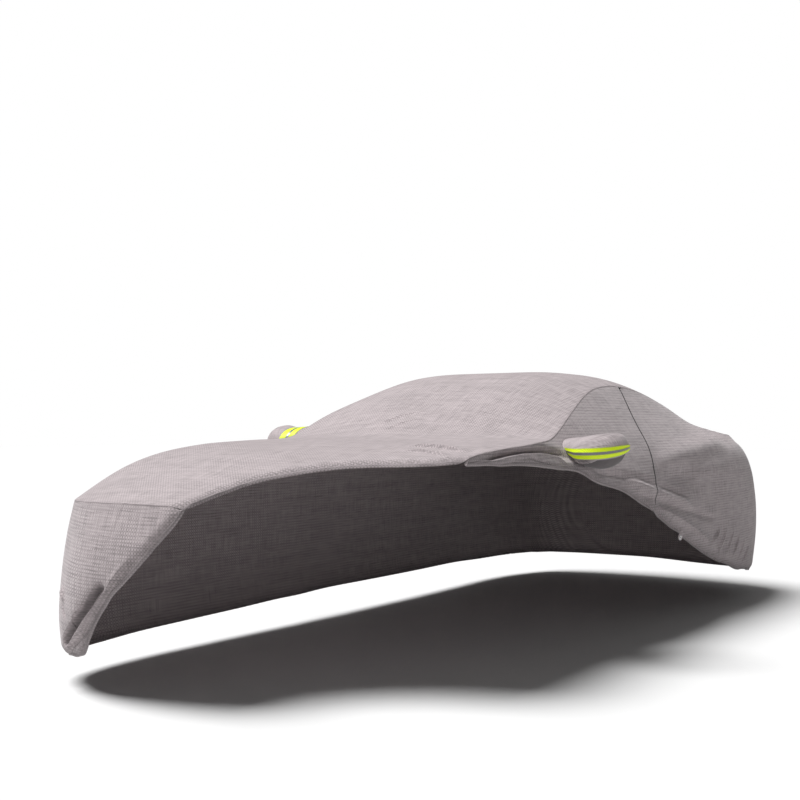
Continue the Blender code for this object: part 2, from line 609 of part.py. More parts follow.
def make_pocket(side):
    """A mirror pocket, sewn into the hole of its side panel. Returns the points just off its outside."""
    panel = bpy.data.objects["side_panel_left_front" if side > 0 else "side_panel_right"]
    rings = pocket_rings(side, panel)
    tip = Vector(POCKET_TIP) * Vector((side, 1, 1)) + pocket_shifts(side)[1]
    name = "mirror_pocket_" + ("left" if side > 0 else "right")
    mesh = loft(name, rings, closed=True, tip=tip, outwards=-side, diagonals="FIXED")
    add_thickness(add_object(name, mesh, "cloth"), SHEET)
    over = lifted(mesh, SHEET + GAP)[:-1].reshape(rings.shape)
    cut_pocket_hole(side, panel, over[0])
    return over


def lifted(mesh, distance):
    """The points of a mesh, moved out so that its facets all move by the same distance."""
    builder = bmesh.new()
    builder.from_mesh(mesh)
    builder.normal_update()
    points = [vertex.co + vertex.normal * distance * vertex.calc_shell_factor() for vertex in builder.verts]
    builder.free()
    return np.array(points)


def add_tape(name, grid, side):
    slot = "silver_strip" if "strip" in name else "yellow_tape"
    add_thickness(add_object(name, loft(name, grid, outwards=-side, diagonals="FIXED"), slot), TAPE_THICKNESS)


def inset(first, last):
    """Two lines of points, each moved a little towards the other."""
    step = TAPE_INSET * (last - first) / np.linalg.norm(last - first, axis=-1, keepdims=True)
    return first + step, last - step


def make_left_tape(over):
    """The left pocket's tape, over its facets: two yellow bands along it, with a silver strip between them."""
    for piece, (first, last) in TAPE_ANGLES.items():
        columns = inset(over[1:, POCKET_ANGLES.index(first)], over[1:, POCKET_ANGLES.index(last)])
        add_tape(piece + "_left", np.stack(columns, axis=1), 1)


def make_right_tape(over):
    """The right pocket's tape, which goes up round its flare instead."""
    start, end = (POCKET_ANGLES.index(angle) for angle in TAPE_RING_ANGLES)
    columns = range(start - len(POCKET_ANGLES), end + 1)
    for piece, (inner, outer) in TAPE_RINGS.items():
        add_tape(piece + "_right", np.stack(inset(over[inner, columns], over[outer, columns])), -1)


def hem_frame(place):
    """A point on the left hem's edge, and the ways along the hem, up the cloth and out of it."""
    places = np.array([place, place + FRAME_STEP, place])
    shares = left_hem(places) - (0, 0, FRAME_STEP)
    start, after, above = (Vector(point) for point in skirt_cloth(places, shares))
    along = (after - start).normalized()
    out = along.cross(above - start).normalized()
    return start, along, out.cross(along), out


def place_on_tab(thing):
    """Put a flat piece on the outside of the left hem, with its middle at the eyelet's."""
    start, along, up, out = hem_frame(EYELET_ROUND)
    centre = start - up * EYELET_BELOW + out * (HEM_SHEET + TAB_GAP + SHEET / 2)
    thing.matrix_local = Matrix.Translation(centre) @ Matrix((along, up, out)).transposed().to_4x4()


def arc(radius_x, radius_y, start, end, steps):
    """Points on an ellipse round the origin, from one angle to another."""
    return [(radius_x * math.cos(a), radius_y * math.sin(a)) for a in np.linspace(start, end, steps + 1)]


def make_tab():
    """The tab that hangs from the outside of the left hem: square over it, half round below, with a hole."""
    half, top = TAB_WIDTH / 2, EYELET_BELOW + TAB_OVERLAP
    radius = EYELET_BARREL + GAP
    outline = [(half, top), (-half, top), *arc(half, TAB_ROUND, -math.pi, 0, TAB_STEPS)]
    hole = arc(radius, radius, math.tau, 0, EYELET_STEPS)[:-1]
    curve_data = bpy.data.curves.new("eyelet_tab", "CURVE")
    curve_data.dimensions = "2D"
    curve_data.fill_mode = "BOTH"
    curve_data.extrude = SHEET / 2
    for points in (outline, hole):
        spline = curve_data.splines.new("POLY")
        spline.points.add(len(points) - 1)
        for point, (x, y) in zip(spline.points, points):
            point.co = (x, y, 0, 1)
        spline.use_cyclic_u = True
    place_on_tab(add_object("eyelet_tab", curve_data, "cloth"))


def make_eyelet():
    """The metal eyelet: a barrel through the tab, with a flange on either face."""
    inner = SHEET / 2 + GAP
    outer = inner + EYELET_FLANGE_THICKNESS
    profile = [(EYELET_FLANGE, outer), (EYELET_FLANGE, inner), (EYELET_BARREL, inner), (EYELET_BARREL, -inner),
               (EYELET_FLANGE, -inner), (EYELET_FLANGE, -outer), (EYELET_HOLE, -outer), (EYELET_HOLE, outer)]
    mesh = bpy.data.meshes.new("eyelet")
    edges = [(i, (i + 1) % len(profile)) for i in range(len(profile))]
    mesh.from_pydata([(radius, 0, z) for radius, z in profile], edges, [])
    thing = add_object("eyelet", mesh, "metal")
    turned = thing.modifiers.new("turned", "SCREW")
    turned.steps = turned.render_steps = EYELET_STEPS
    turned.use_merge_vertices = True
    turned.merge_threshold = 0.00001
    place_on_tab(thing)


clear_scene()
make_datum()
for slot in MATERIALS:
    make_material(slot)
make_top_panel()
make_skirt_panels()
make_zip()
make_left_tape(make_pocket(1))
make_right_tape(make_pocket(-1))
make_tab()
make_eyelet()
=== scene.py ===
# %% [markdown]
# # A fitted car cover
# The solid model of the cover is finished: panels of 2.5 mm sheet, two mirror pockets with their tape, a zip
# and an eyelet on its tab. This lesson dresses it. Each panel becomes a fine cloth with its creases, hem and
# seams, and everything gets a finish that is worked out by shader nodes. The camera comes first, because
# some creases are placed where it sees them.

# %% Load the frame
import json
import math

import bmesh
import bpy
import numpy as np
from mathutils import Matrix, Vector, noise
from mathutils.bvhtree import BVHTree
from mathutils.kdtree import KDTree

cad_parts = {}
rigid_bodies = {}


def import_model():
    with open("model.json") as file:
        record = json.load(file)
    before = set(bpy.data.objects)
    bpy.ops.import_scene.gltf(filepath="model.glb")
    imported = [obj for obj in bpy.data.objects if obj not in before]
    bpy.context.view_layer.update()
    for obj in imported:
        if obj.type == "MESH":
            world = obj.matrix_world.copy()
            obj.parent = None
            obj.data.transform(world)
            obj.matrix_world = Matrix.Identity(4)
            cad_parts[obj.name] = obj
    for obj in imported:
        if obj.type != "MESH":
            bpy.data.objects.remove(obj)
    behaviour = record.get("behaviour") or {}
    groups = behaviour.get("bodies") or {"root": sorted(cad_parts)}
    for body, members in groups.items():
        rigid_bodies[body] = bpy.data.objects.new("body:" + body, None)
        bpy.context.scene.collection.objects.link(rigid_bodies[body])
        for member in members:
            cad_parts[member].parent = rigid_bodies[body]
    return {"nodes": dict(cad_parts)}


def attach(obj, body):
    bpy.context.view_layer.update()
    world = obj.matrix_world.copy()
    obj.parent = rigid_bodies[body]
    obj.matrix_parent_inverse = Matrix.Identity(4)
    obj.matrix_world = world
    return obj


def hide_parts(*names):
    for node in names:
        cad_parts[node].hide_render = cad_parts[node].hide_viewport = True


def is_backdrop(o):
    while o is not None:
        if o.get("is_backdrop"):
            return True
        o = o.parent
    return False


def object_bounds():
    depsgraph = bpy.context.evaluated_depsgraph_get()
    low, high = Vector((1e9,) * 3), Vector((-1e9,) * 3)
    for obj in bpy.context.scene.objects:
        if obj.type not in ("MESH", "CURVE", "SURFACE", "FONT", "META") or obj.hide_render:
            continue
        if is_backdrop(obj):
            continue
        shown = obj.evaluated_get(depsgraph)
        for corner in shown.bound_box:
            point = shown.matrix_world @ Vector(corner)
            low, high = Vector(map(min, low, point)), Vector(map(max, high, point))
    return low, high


for thing in list(bpy.data.objects):
    bpy.data.objects.remove(thing)
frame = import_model()
for thing in bpy.context.selected_objects:
    thing.select_set(False)
cad_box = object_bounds()
print("solid model from", [round(v, 3) for v in cad_box[0]], "to", [round(v, 3) for v in cad_box[1]])

# %% [markdown]
# ## The camera
# The photograph was taken from the front left, at about chest height, with a normal lens. Its place, turn
# and lens were found by lining up the cover's rails, hems and outline. The same numbers turn a pixel of the
# photograph into a line of sight, so that a crease can be placed where it shows.

# %% Camera
CAMERA_PLACE = (3.2735, -5.9581, -0.2914)
CAMERA_YAW, CAMERA_PITCH = math.radians(34.43), math.radians(1.14)
LENS_MM, SENSOR_MM = 51.44, 36.0
PHOTO_PIXELS = 800

bpy.ops.object.camera_add(location=CAMERA_PLACE, rotation=(math.pi / 2 + CAMERA_PITCH, 0, CAMERA_YAW))
camera = bpy.context.object
camera.name = "photo_camera"
camera.data.lens, camera.data.sensor_width = LENS_MM, SENSOR_MM
bpy.context.scene.camera = camera
bpy.context.view_layer.update()


def line_of_sight(x, y):
    """The way from the camera through a pixel of the photograph."""
    step = SENSOR_MM / LENS_MM / PHOTO_PIXELS
    middle = PHOTO_PIXELS / 2
    way = Vector(((x - middle) * step, (middle - y) * step, -1))
    return (camera.matrix_world.to_3x3() @ way).normalized()


print("camera", [round(v, 3) for v in CAMERA_PLACE], "with a lens of", LENS_MM, "mm")

# %% [markdown]
# ## From solid panels to open sheets
# A solid panel has an outer face, an inner face and a narrow rim between them. Cloth is easier to shape as
# one open sheet that gets its thickness last. A copy of the panel is merged, the faces are gathered into
# groups that no sharp edge divides, and only the group that faces away from the middle of the cover is kept.
# Its triangles are paired into quads again, and two levels of Subdivision Surface round off the facets.

# %% Open sheets
MERGE = 0.00005
RIM_ANGLE = math.radians(55)
COVER_MIDDLE = Vector((0, 0, -0.9))
HOLE_EDGE = 1.2             # a border point this close to a pocket's hole lies on its edge
POCKETS = {                 # the middle and half sizes of each mirror pocket's hole, in y and z, and its side
    "mirror_pocket_left": ((-0.900, -0.4245), (0.120, 0.058), 1),
    "mirror_pocket_right": ((-0.870, -0.3695), (0.120, 0.058), -1),
}


def make_only(thing):
    """Make one object the selected and active one."""
    for other in bpy.context.selected_objects:
        other.select_set(False)
    thing.select_set(True)
    bpy.context.view_layer.objects.active = thing


def new_object(name, mesh):
    thing = bpy.data.objects.new(name, mesh)
    bpy.context.scene.collection.objects.link(thing)
    return thing


def object_from(name, builder):
    """A new object from a finished bmesh."""
    mesh = bpy.data.meshes.new(name)
    builder.to_mesh(mesh)
    builder.free()
    return new_object(name, mesh)


def subdivide(thing, levels, **settings):
    """Apply a Subdivision Surface modifier."""
    make_only(thing)
    rounded = thing.modifiers.new("rounded", "SUBSURF")
    rounded.levels = rounded.render_levels = levels
    for key, value in settings.items():
        setattr(rounded, key, value)
    bpy.ops.object.modifier_apply(modifier=rounded.name)


def groups_of_faces(builder):
    """The faces in groups, divided by edges that are sharper than the rim angle."""
    waiting, groups = set(builder.faces), []
    while waiting:
        reached = [waiting.pop()]
        for face in reached:
            for edge in face.edges:
                if len(edge.link_faces) == 2 and edge.calc_face_angle() < RIM_ANGLE:
                    for other in edge.link_faces:
                        if other in waiting:
                            waiting.remove(other)
                            reached.append(other)
        groups.append(reached)
    return groups


def facing_out(group):
    """How much a group of faces turns away from the middle of the cover."""
    return sum(face.calc_area() * face.normal.dot(face.calc_center_median() - COVER_MIDDLE) for face in group)


def ring_distance(points, pocket):
    """How far points are from a pocket's hole, as a share of its size: 1 on its edge."""
    (y, z), (half_y, half_z), side = POCKETS[pocket]
    beside = np.where(points[:, 0] * side > 0, 1, np.inf)
    return np.hypot((points[:, 1] - y) / half_y, (points[:, 2] - z) / half_z) * beside


def open_sheet(name, node, levels):
    """The outer face of a solid node as a new object, rounded by Subdivision Surface."""
    builder = bmesh.new()
    builder.from_mesh(frame["nodes"][node].data)
    bmesh.ops.remove_doubles(builder, verts=builder.verts, dist=MERGE)
    builder.normal_update()
    outer = set(max(groups_of_faces(builder), key=facing_out))
    others = [face for face in builder.faces if face not in outer]
    bmesh.ops.delete(builder, geom=others, context="FACES")
    bmesh.ops.join_triangles(builder, faces=builder.faces, angle_face_threshold=math.pi / 3,
                             angle_shape_threshold=math.pi / 2)
    crease = builder.edges.layers.float.new("crease_edge")
    for edge in builder.edges:
        ends = np.array([vertex.co for vertex in edge.verts])
        if edge.is_boundary and any((ring_distance(ends, pocket) < HOLE_EDGE).all() for pocket in POCKETS):
            edge[crease] = 1.0
    thing = object_from(name, builder)
    subdivide(thing, levels, boundary_smooth="PRESERVE_CORNERS")
    print(name, "has", len(thing.data.polygons), "faces")
    return thing


# each sheet's solid, its levels of subdivision, and the width, length and area that it was cut to
PANELS = {
    "top_cloth": ("top_panel", 2, 1.85, 4.80, 6.56),
    "left_front_cloth": ("side_panel_left_front", 2, 0.75, 2.25, 0.62),
    "left_rear_cloth": ("side_panel_left_rear", 2, 1.15, 2.05, 1.37),
    "right_cloth": ("side_panel_right", 2, 1.35, 4.75, 4.50),
    "tail_cloth": ("tail_panel", 2, 1.10, 3.10, 2.74),
    "nose_cloth": ("nose_panel", 2, 0.34, 0.90, 0.184),
    "zip_strip": ("zip_left", 1, 0.012, 0.64, 0.0075),
}
sheets = {name: open_sheet(name, node, levels) for name, (node, levels, *_) in PANELS.items()}

# %% [markdown]
# ## Hems and seams
# The border of a sheet is a hem where nothing lies beside it, and a seam where another sheet does. Both are
# needed again and again: creases and gathers start at hems, the cloth puckers at seams, and stitches follow
# both. A k-d tree finds the nearest border point quickly. Beside each seam point its average normal is kept,
# so that two sheets that meet there move the same way.

# %% Find hems and seams
SEAM_REACH = 0.009          # a border point this close to another sheet lies on a seam


def read(items, key, width=3):
    """One property of all the vertices or faces of a mesh, as the rows of an array."""
    values = np.empty(len(items) * width)
    items.foreach_get(key, values)
    return values.reshape(-1, width)


def coordinates(thing):
    return read(thing.data.vertices, "co")


def normals(thing):
    return read(thing.data.vertices, "normal")


def place_points(thing, points):
    thing.data.vertices.foreach_set("co", points.ravel())
    thing.data.update()


def tree_of(thing):
    polygons = [polygon.vertices for polygon in thing.data.polygons]
    return BVHTree.FromPolygons([vertex.co for vertex in thing.data.vertices], polygons)


def border_edges(thing):
    """The edges that only one face uses, as pairs of vertex indices."""
    used = {}
    for polygon in thing.data.polygons:
        for key in polygon.edge_keys:
            used[key] = used.get(key, 0) + 1
    return [key for key, count in used.items() if count == 1]


def border_loops(thing):
    """The border of a sheet as closed loops of vertex indices."""
    beside = {}
    for first, second in border_edges(thing):
        beside.setdefault(first, []).append(second)
        beside.setdefault(second, []).append(first)
    loops = []
    while beside:
        loop = [next(iter(beside))]
        while loop[-1] in beside:
            ahead = [index for index in beside.pop(loop[-1]) if index in beside]
            if not ahead:
                break
            loop.append(ahead[0])
        loops.append(loop)
    return loops


trees = {name: tree_of(sheet) for name, sheet in sheets.items()}


def what_is_beside(name, place):
    """What a border point of a sheet lies at: a pocket's hole, another sheet, or nothing at a hem."""
    if min(ring_distance(np.array([place]), pocket)[0] for pocket in POCKETS) < HOLE_EDGE:
        return "hole", None
    others = {other: tree for other, tree in trees.items() if other != name}
    found = [(other, tree.find_nearest(Vector(place), SEAM_REACH)) for other, tree in others.items()]
    found = sorted((hit[3], other, hit[1]) for other, hit in found if hit[0])
    return found[0][1:] if found else ("hem", None)


def kd_tree(points):
    tree = KDTree(len(points))
    for index, point in enumerate(points):
        tree.insert(point, index)
    tree.balance()
    return tree


hem_points, seam_points, seam_normals = [], [], []
for name, sheet in sheets.items():
    points, ways = coordinates(sheet), normals(sheet)
    for loop in border_loops(sheet):
        for first, second in zip(loop, loop[1:] + loop[:1]):
            for share in (0, 0.5):
                place = Vector(points[first] * (1 - share) + points[second] * share)
                beside, normal = what_is_beside(name, place)
                if beside == "hem":
                    hem_points.append(place)
                elif beside != "hole":
                    seam_points.append(place)
                    seam_normals.append((Vector(ways[first]) + normal).normalized())

hem_tree, seam_tree = kd_tree(hem_points), kd_tree(seam_points)
print(len(hem_points), "points on hems,", len(seam_points), "on seams")


def distance_to(tree, points):
    return np.array([tree.find(Vector(point))[2] for point in points])


# %% [markdown]
# ## Creases
# A crease is a ridge, or a trough where its height is negative, along a route over the cloth. The routes are
# read off the photograph, in its pixels, and are put on the cloth by lines of sight. Heights and widths are
# metres. The width differs on the two sides of a route, because a crease in hanging cloth is steep on one
# side and fades out on the other. Left and right are those of someone who walks along the route, as the
# photograph shows it. At its ends a crease dies out over its fade.

# %% Crease table
# each crease's route in pixels, its height, its width on the left and on the right, and its fade
CREASES = {
    # under the windscreen, from the middle towards the right
    "screen_long": (((368, 429), (380, 424), (391, 419.5), (402, 416), (414, 412.6), (430, 410)),
                    0.008, 0.09, 0.022, 0.14),
    "screen_low": (((380, 431), (392, 427), (404, 422.4), (420, 418)), 0.006, 0.05, 0.018, 0.10),
    # over the bonnet, which is seen so flat that only the steep near side of a fold shows
    "bonnet_upper": (((404, 446.2), (422, 447), (441, 448.6), (455, 450.4), (468, 453)),
                     0.016, 0.09, 0.013, 0.12),
    "bonnet_lower": (((398, 450.2), (412, 451.2), (426, 452.6), (440, 455.4), (454, 459)),
                     0.014, 0.05, 0.012, 0.12),
    # along the hem of the left side, in front of the pocket
    "hem_trough": (((478, 456), (491, 457.4), (506, 454.6), (520, 451.6), (535, 450.4), (549, 451.4),
                    (561, 454.4), (572, 459.6), (586, 467)), -0.020, 0.026, 0.018, 0.14),
    "hem_swell": (((484, 461.4), (496, 461.4), (510, 458.4), (524, 456.2), (540, 455.6), (556, 458.4),
                   (572, 464.6)), 0.014, 0.020, 0.018, 0.12),
    "hem_tick": (((526, 456.6), (536, 458.4), (545, 460.2), (553, 462.4)), -0.012, 0.014, 0.012, 0.05),
    # below the left pocket and along the left hem
    "under_pocket": (((590, 470), (604, 473.5), (622, 476.6), (640, 479.6), (656, 484), (672, 490),
                      (690, 497)), -0.016, 0.045, 0.040, 0.16),
    "ridge_upper": (((622, 477), (640, 483.4), (652, 489), (666, 495), (680, 500.6), (694, 506)),
                    0.022, 0.050, 0.040, 0.16),
    "between": (((628, 486), (640, 493), (652, 498.6), (664, 502.6), (684, 508.8), (702, 514.6),
                 (718, 519)), -0.016, 0.036, 0.046, 0.16),
    "ridge_lower": (((640, 501), (652, 507), (664, 511.6), (677, 517.6), (690, 526.6), (701, 535),
                     (711, 543)), 0.018, 0.050, 0.030, 0.14),
    "tuck_stop": (((711, 544), (716, 537.5), (722, 530)), 0.010, 0.030, 0.012, 0.07),
    "flank_shade": (((656, 474), (676, 476), (700, 476)), -0.012, 0.08, 0.08, 0.25),
    # the rear quarter
    "haunch_crest": (((650, 471), (660, 465), (670, 459.6), (682, 454.4), (696, 449.2), (710, 444.6),
                      (724, 441)), 0.019, 0.11, 0.10, 0.30),
    "flank": (((690, 474), (700, 470.6), (712, 467.6), (727, 465.4)), 0.010, 0.10, 0.08, 0.20),
    "flank_low": (((662, 483), (684, 486.6), (703, 490)), -0.006, 0.08, 0.08, 0.20),
    # gathers at the rear left corner
    "gather_0": (((708, 552), (715, 541), (722, 524)), 0.006, 0.030, 0.018, 0.14),
    "gather_1": (((717, 556), (722, 544), (729, 526)), 0.009, 0.026, 0.016, 0.14),
    "gather_2": (((724.6, 559), (729, 546), (736, 527)), 0.008, 0.022, 0.014, 0.14),
    "gather_3": (((731, 561), (735, 550), (741, 532)), 0.010, 0.020, 0.014, 0.13),
    "gather_4": (((736, 563.4), (740.4, 553.5), (746.6, 536)), 0.008, 0.018, 0.012, 0.12),
    "gather_5": (((740.6, 565.6), (744.6, 557), (750, 543)), 0.009, 0.016, 0.011, 0.10),
    # the lower right corner of the nose, left in the photograph
    "nose_facet": (((150, 541), (136, 557), (122, 574), (111, 589), (103, 601)), -0.009, 0.030, 0.050, 0.14),
    "facet_edge": (((130, 556), (121, 567), (111, 581), (101, 597)), 0.007, 0.016, 0.026, 0.10),
    "nose_trough": (((104, 584), (92, 600), (80, 617.6), (69, 635), (63, 645)), -0.042, 0.024, 0.030, 0.06),
    "nose_ridge": (((108, 588), (99, 602), (89, 617), (76, 638), (67, 652.5)), 0.022, 0.018, 0.015, 0.06),
    "nose_second": (((97, 615), (86, 629), (74, 648)), -0.010, 0.013, 0.013, 0.05),
    "edge_knuckle": (((62, 584), (63, 596), (64.4, 606)), 0.016, 0.030, 0.020, 0.06),
    "edge_dent": (((61, 600), (63, 612), (66, 624)), -0.012, 0.022, 0.022, 0.06),
}
ROUTE_STEP = 4.0            # pixels between the points of a route
BROAD = 0.08                # a fold that reaches this far on both sides has a round back
CREST, ROUND_BACK = 1.1, 2.0    # how full a fold is between its crest and its foot
FADES_IN_ROUTE = 2.2        # a short route fades over its length divided by this


def smooth_step(value):
    value = np.clip(value, 0, 1)
    return value * value * (3 - 2 * value)


def on_cloth(x, y):
    """Where a line of sight first meets the outside of the cloth, and the normal there, or None."""
    way = line_of_sight(x, y)
    hits = [tree.ray_cast(camera.location, way) for tree in trees.values()]
    hits = [hit for hit in hits if hit[0] and hit[1].dot(way) < 0]
    return min(hits, key=lambda hit: hit[3])[:2] if hits else None


def route_on_cloth(pixels):
    """A route in pixels as closely spaced points on the cloth, with the normals there."""
    spots = []
    for (x, y), (next_x, next_y) in zip(pixels[:-1], pixels[1:]):
        steps = max(1, round(math.hypot(next_x - x, next_y - y) / ROUTE_STEP))
        spots += [(x + (next_x - x) * i / steps, y + (next_y - y) * i / steps) for i in range(steps)]
    found = [hit for hit in (on_cloth(x, y) for x, y in [*spots, pixels[-1]]) if hit]
    return np.array([place for place, _ in found]), np.array([normal for _, normal in found])


class Crease:
    """One crease on the cloth, ready to be measured from any points."""

    def __init__(self, pixels, height, left, right, fade):
        self.points, self.normals = route_on_cloth(pixels)
        self.height, self.left, self.right, self.fade = height, left, right, fade
        legs = np.diff(self.points, axis=0)
        self.lengths = np.maximum(np.linalg.norm(legs, axis=1), 1e-9)
        self.ways = legs / self.lengths[:, None]
        self.starts = np.concatenate([[0], np.cumsum(self.lengths)])

    def measure(self, points):
        """The height of the crease at each point, how far off its route it is, and a mask for painted shade
        on its steep right side.
        """
        nearest = np.full(len(points), np.inf)
        raised, wall = np.zeros(len(points)), np.zeros(len(points))
        reach = max(self.left, self.right) * 2
        near = np.flatnonzero(((points > self.points.min(axis=0) - reach)
                               & (points < self.points.max(axis=0) + reach)).all(axis=1))
        spots = points[near]
        best, along, side = np.full(len(near), np.inf), np.zeros(len(near)), np.zeros(len(near))
        legs = zip(self.points, self.ways, self.lengths, self.starts, self.normals)
        for start, way, length, before, normal in legs:
            t = np.clip((spots - start) @ way, 0, length)
            off = spots - start - t[:, None] * way
            distance = np.linalg.norm(off, axis=1)
            closer = distance < best
            best = np.where(closer, distance, best)
            along = np.where(closer, before + t, along)
            side = np.where(closer, off @ np.cross(normal, way), side)
        width = np.where(side > 0, self.left, self.right)
        x = np.clip(best / width, 0, 1)
        to_end = np.minimum(along, self.starts[-1] - along)
        fade = smooth_step(to_end / min(self.fade, self.starts[-1] / FADES_IN_ROUTE))
        nearest[near] = best
        back = ROUND_BACK if min(self.left, self.right) >= BROAD else CREST
        raised[near] = self.height * fade * (1 - x) ** 2 * (1 + back * x)
        wall[near] = fade * smooth_step(2 * (1 - x)) * (side < 0)
        return raised, nearest, wall


creases = {name: Crease(*row) for name, row in CREASES.items()}
for name, crease in creases.items():
    print(f"crease {name} is {crease.starts[-1]:.2f} m long")

# %% [markdown]
# ## Finer where it matters
# A crease needs several faces across it, and the rest of the cloth doesn't. So the faces near creases and
# hems are divided again, and the others stay as they are.

# %% Refine
HEM_BAND = 0.045            # faces this close to a hem are divided once
CREASE_BAND = 0.050         # and those this close to a crease's route
FINE_BAND = 0.030           # and these a second time, if they are still wide
WIDE_FACE = 0.007


def divide(thing, chosen):
    """Divide the chosen faces in four."""
    builder = bmesh.new()
    builder.from_mesh(thing.data)
    builder.faces.ensure_lookup_table()
    edges = {edge for index in chosen for edge in builder.faces[index].edges}
    bmesh.ops.subdivide_edges(builder, edges=list(edges), cuts=1, use_grid_fill=True)
    wide = [face for face in builder.faces if len(face.verts) > 4]
    bmesh.ops.triangulate(builder, faces=wide)
    builder.to_mesh(thing.data)
    builder.free()


def face_middles(thing):
    return read(thing.data.polygons, "center")


def crease_distance(points):
    return np.min([crease.measure(points)[1] for crease in creases.values()], axis=0)


for name, sheet in sheets.items():
    middles = face_middles(sheet)
    near = (crease_distance(middles) < CREASE_BAND) | (distance_to(hem_tree, middles) < HEM_BAND)
    divide(sheet, np.flatnonzero(near))
    wide = np.sqrt(read(sheet.data.polygons, "area", 1)[:, 0]) > WIDE_FACE
    divide(sheet, np.flatnonzero((crease_distance(face_middles(sheet)) < FINE_BAND) & wide))
    print(name, "now has", len(sheet.data.polygons), "faces")

# %% [markdown]
# ## Runs of border
# Hem bands, seam tapes and stitches are made along stretches of the border that are all hem, or all seam to
# the same neighbour. They are listed now, as vertex numbers, while the sheets still meet exactly. The places
# are read later, when the cloth has its creases.

# %% Runs
SHORTEST_RUN = 4            # vertices

runs = []                   # sheet, what lies beside it, vertex indices
for name, sheet in sheets.items():
    points = coordinates(sheet)
    for loop in border_loops(sheet):
        kinds = [what_is_beside(name, points[index])[0] for index in loop]
        changes = [i for i in range(len(loop)) if kinds[i] != kinds[i - 1]]
        if not changes:
            runs.append((name, kinds[0], [*loop, loop[0]]))
            continue
        loop = loop[changes[0]:] + loop[:changes[0]]
        kinds = kinds[changes[0]:] + kinds[:changes[0]]
        ends = [i for i in range(1, len(loop)) if kinds[i] != kinds[i - 1]] + [len(loop)]
        for start, end in zip([0, *ends[:-1]], ends):
            if end - start >= SHORTEST_RUN:
                runs.append((name, kinds[start], loop[start:end]))
panel_runs = [run for run in runs if run[0] != "zip_strip"]
print(len(runs), "runs:", sorted({f"{name} at {kind}" for name, kind, _ in runs}))

# %% [markdown]
# ## Shape the cloth
# Everything that moves the cloth is one function of place, so a panel, the zip beside it and a seam on top
# of it all move alike: the creases, the hem that the elastic rolls inwards, the gathers that the same
# elastic draws on the far side and the tail, a slight pucker along the seams, and a soft unevenness all
# over. The cloth keeps still round the pockets, its hem isn't rolled at the eyelet's tab, and the stiff zip
# keeps it almost flat. Each point also gets a painted shade, darker towards the hem and on the steep side of
# the tightest folds, which the finish reads later.

# %% Relief
HEM_ROLL, HEM_ROLL_WIDTH = 0.024, 0.052
ZIP_STIFF, ZIP_REACH = 0.75, 0.11   # the zip keeps this much of the relief off the cloth, this far from it
POCKET_STILL, POCKET_BLEND = 1.15, 0.7      # shares of the size of a pocket's hole
TAB_PLACE, TAB_REACH, TAB_STILL = np.array((0.957, 0.174, -0.915)), 0.09, 0.3
GATHER_HEIGHT, GATHER_PITCH, GATHER_FADE = 0.0040, 0.052, 0.16
GATHER_WANDER, GATHER_NOISE, GATHER_MEAN, GATHER_VARY = 5, 3, 0.6, 0.8
FAR_SIDE, TAIL, NOSE_CORNER = (0.5, 0.2), (1.9, 0.3), (-2.3, 0.5)   # where gathers begin, and their blend
PUCKER_DEPTH, PUCKER_WIDTH = 0.0010, 0.012
UNEVEN_HEIGHT, UNEVEN_SIZE = 0.0045, 0.32
# painted shade along the hem: how dark it is at the edge, and how far in it fades
HEM_SHADE, HEM_SHADE_WIDTH = 0.42, 0.060
# painted shade on the steep right side of these folds: how dark it gets there
FOLD_SHADE = {"nose_trough": 0.6, "bonnet_upper": 0.2, "bonnet_lower": 0.2}
SEAM_BLEND = 0.05           # normals turn into the seam's over this distance
CORNER_RADIUS, HALF_WIDTH, HALF_LENGTH = 0.45, 0.93, 2.44   # of the outline on the ground


def round_the_cover(points):
    """The length along the cover's rounded outline, from the middle of its nose, positive on the left."""
    x, y = np.abs(points[:, 0]), points[:, 1]
    straight_x, straight_y = HALF_WIDTH - CORNER_RADIUS, HALF_LENGTH - CORNER_RADIUS
    corner_x, corner_y = x - straight_x, np.abs(y) - straight_y
    quarter = CORNER_RADIUS * math.pi / 2
    turn = CORNER_RADIUS * np.arctan2(np.maximum(corner_x, 0), np.maximum(corner_y, 1e-9))
    at_end = np.where(corner_x < 0, x, straight_x + turn)
    at_side = straight_x + quarter + straight_y - np.abs(y)
    from_end = np.where(corner_y > 0, at_end, at_side)
    whole = 2 * (straight_x + quarter + straight_y)
    return np.sign(points[:, 0]) * np.where(y < 0, from_end, whole - from_end)


zip_middle = kd_tree([vertex.co for vertex in sheets["zip_strip"].data.vertices])


def stillness(points):
    """0 where something is sewn on, 1 away from it."""
    still = 1 - ZIP_STIFF * smooth_step(1 - distance_to(zip_middle, points) / ZIP_REACH)
    for pocket in POCKETS:
        still *= smooth_step((ring_distance(points, pocket) - POCKET_STILL) / POCKET_BLEND)
    return still


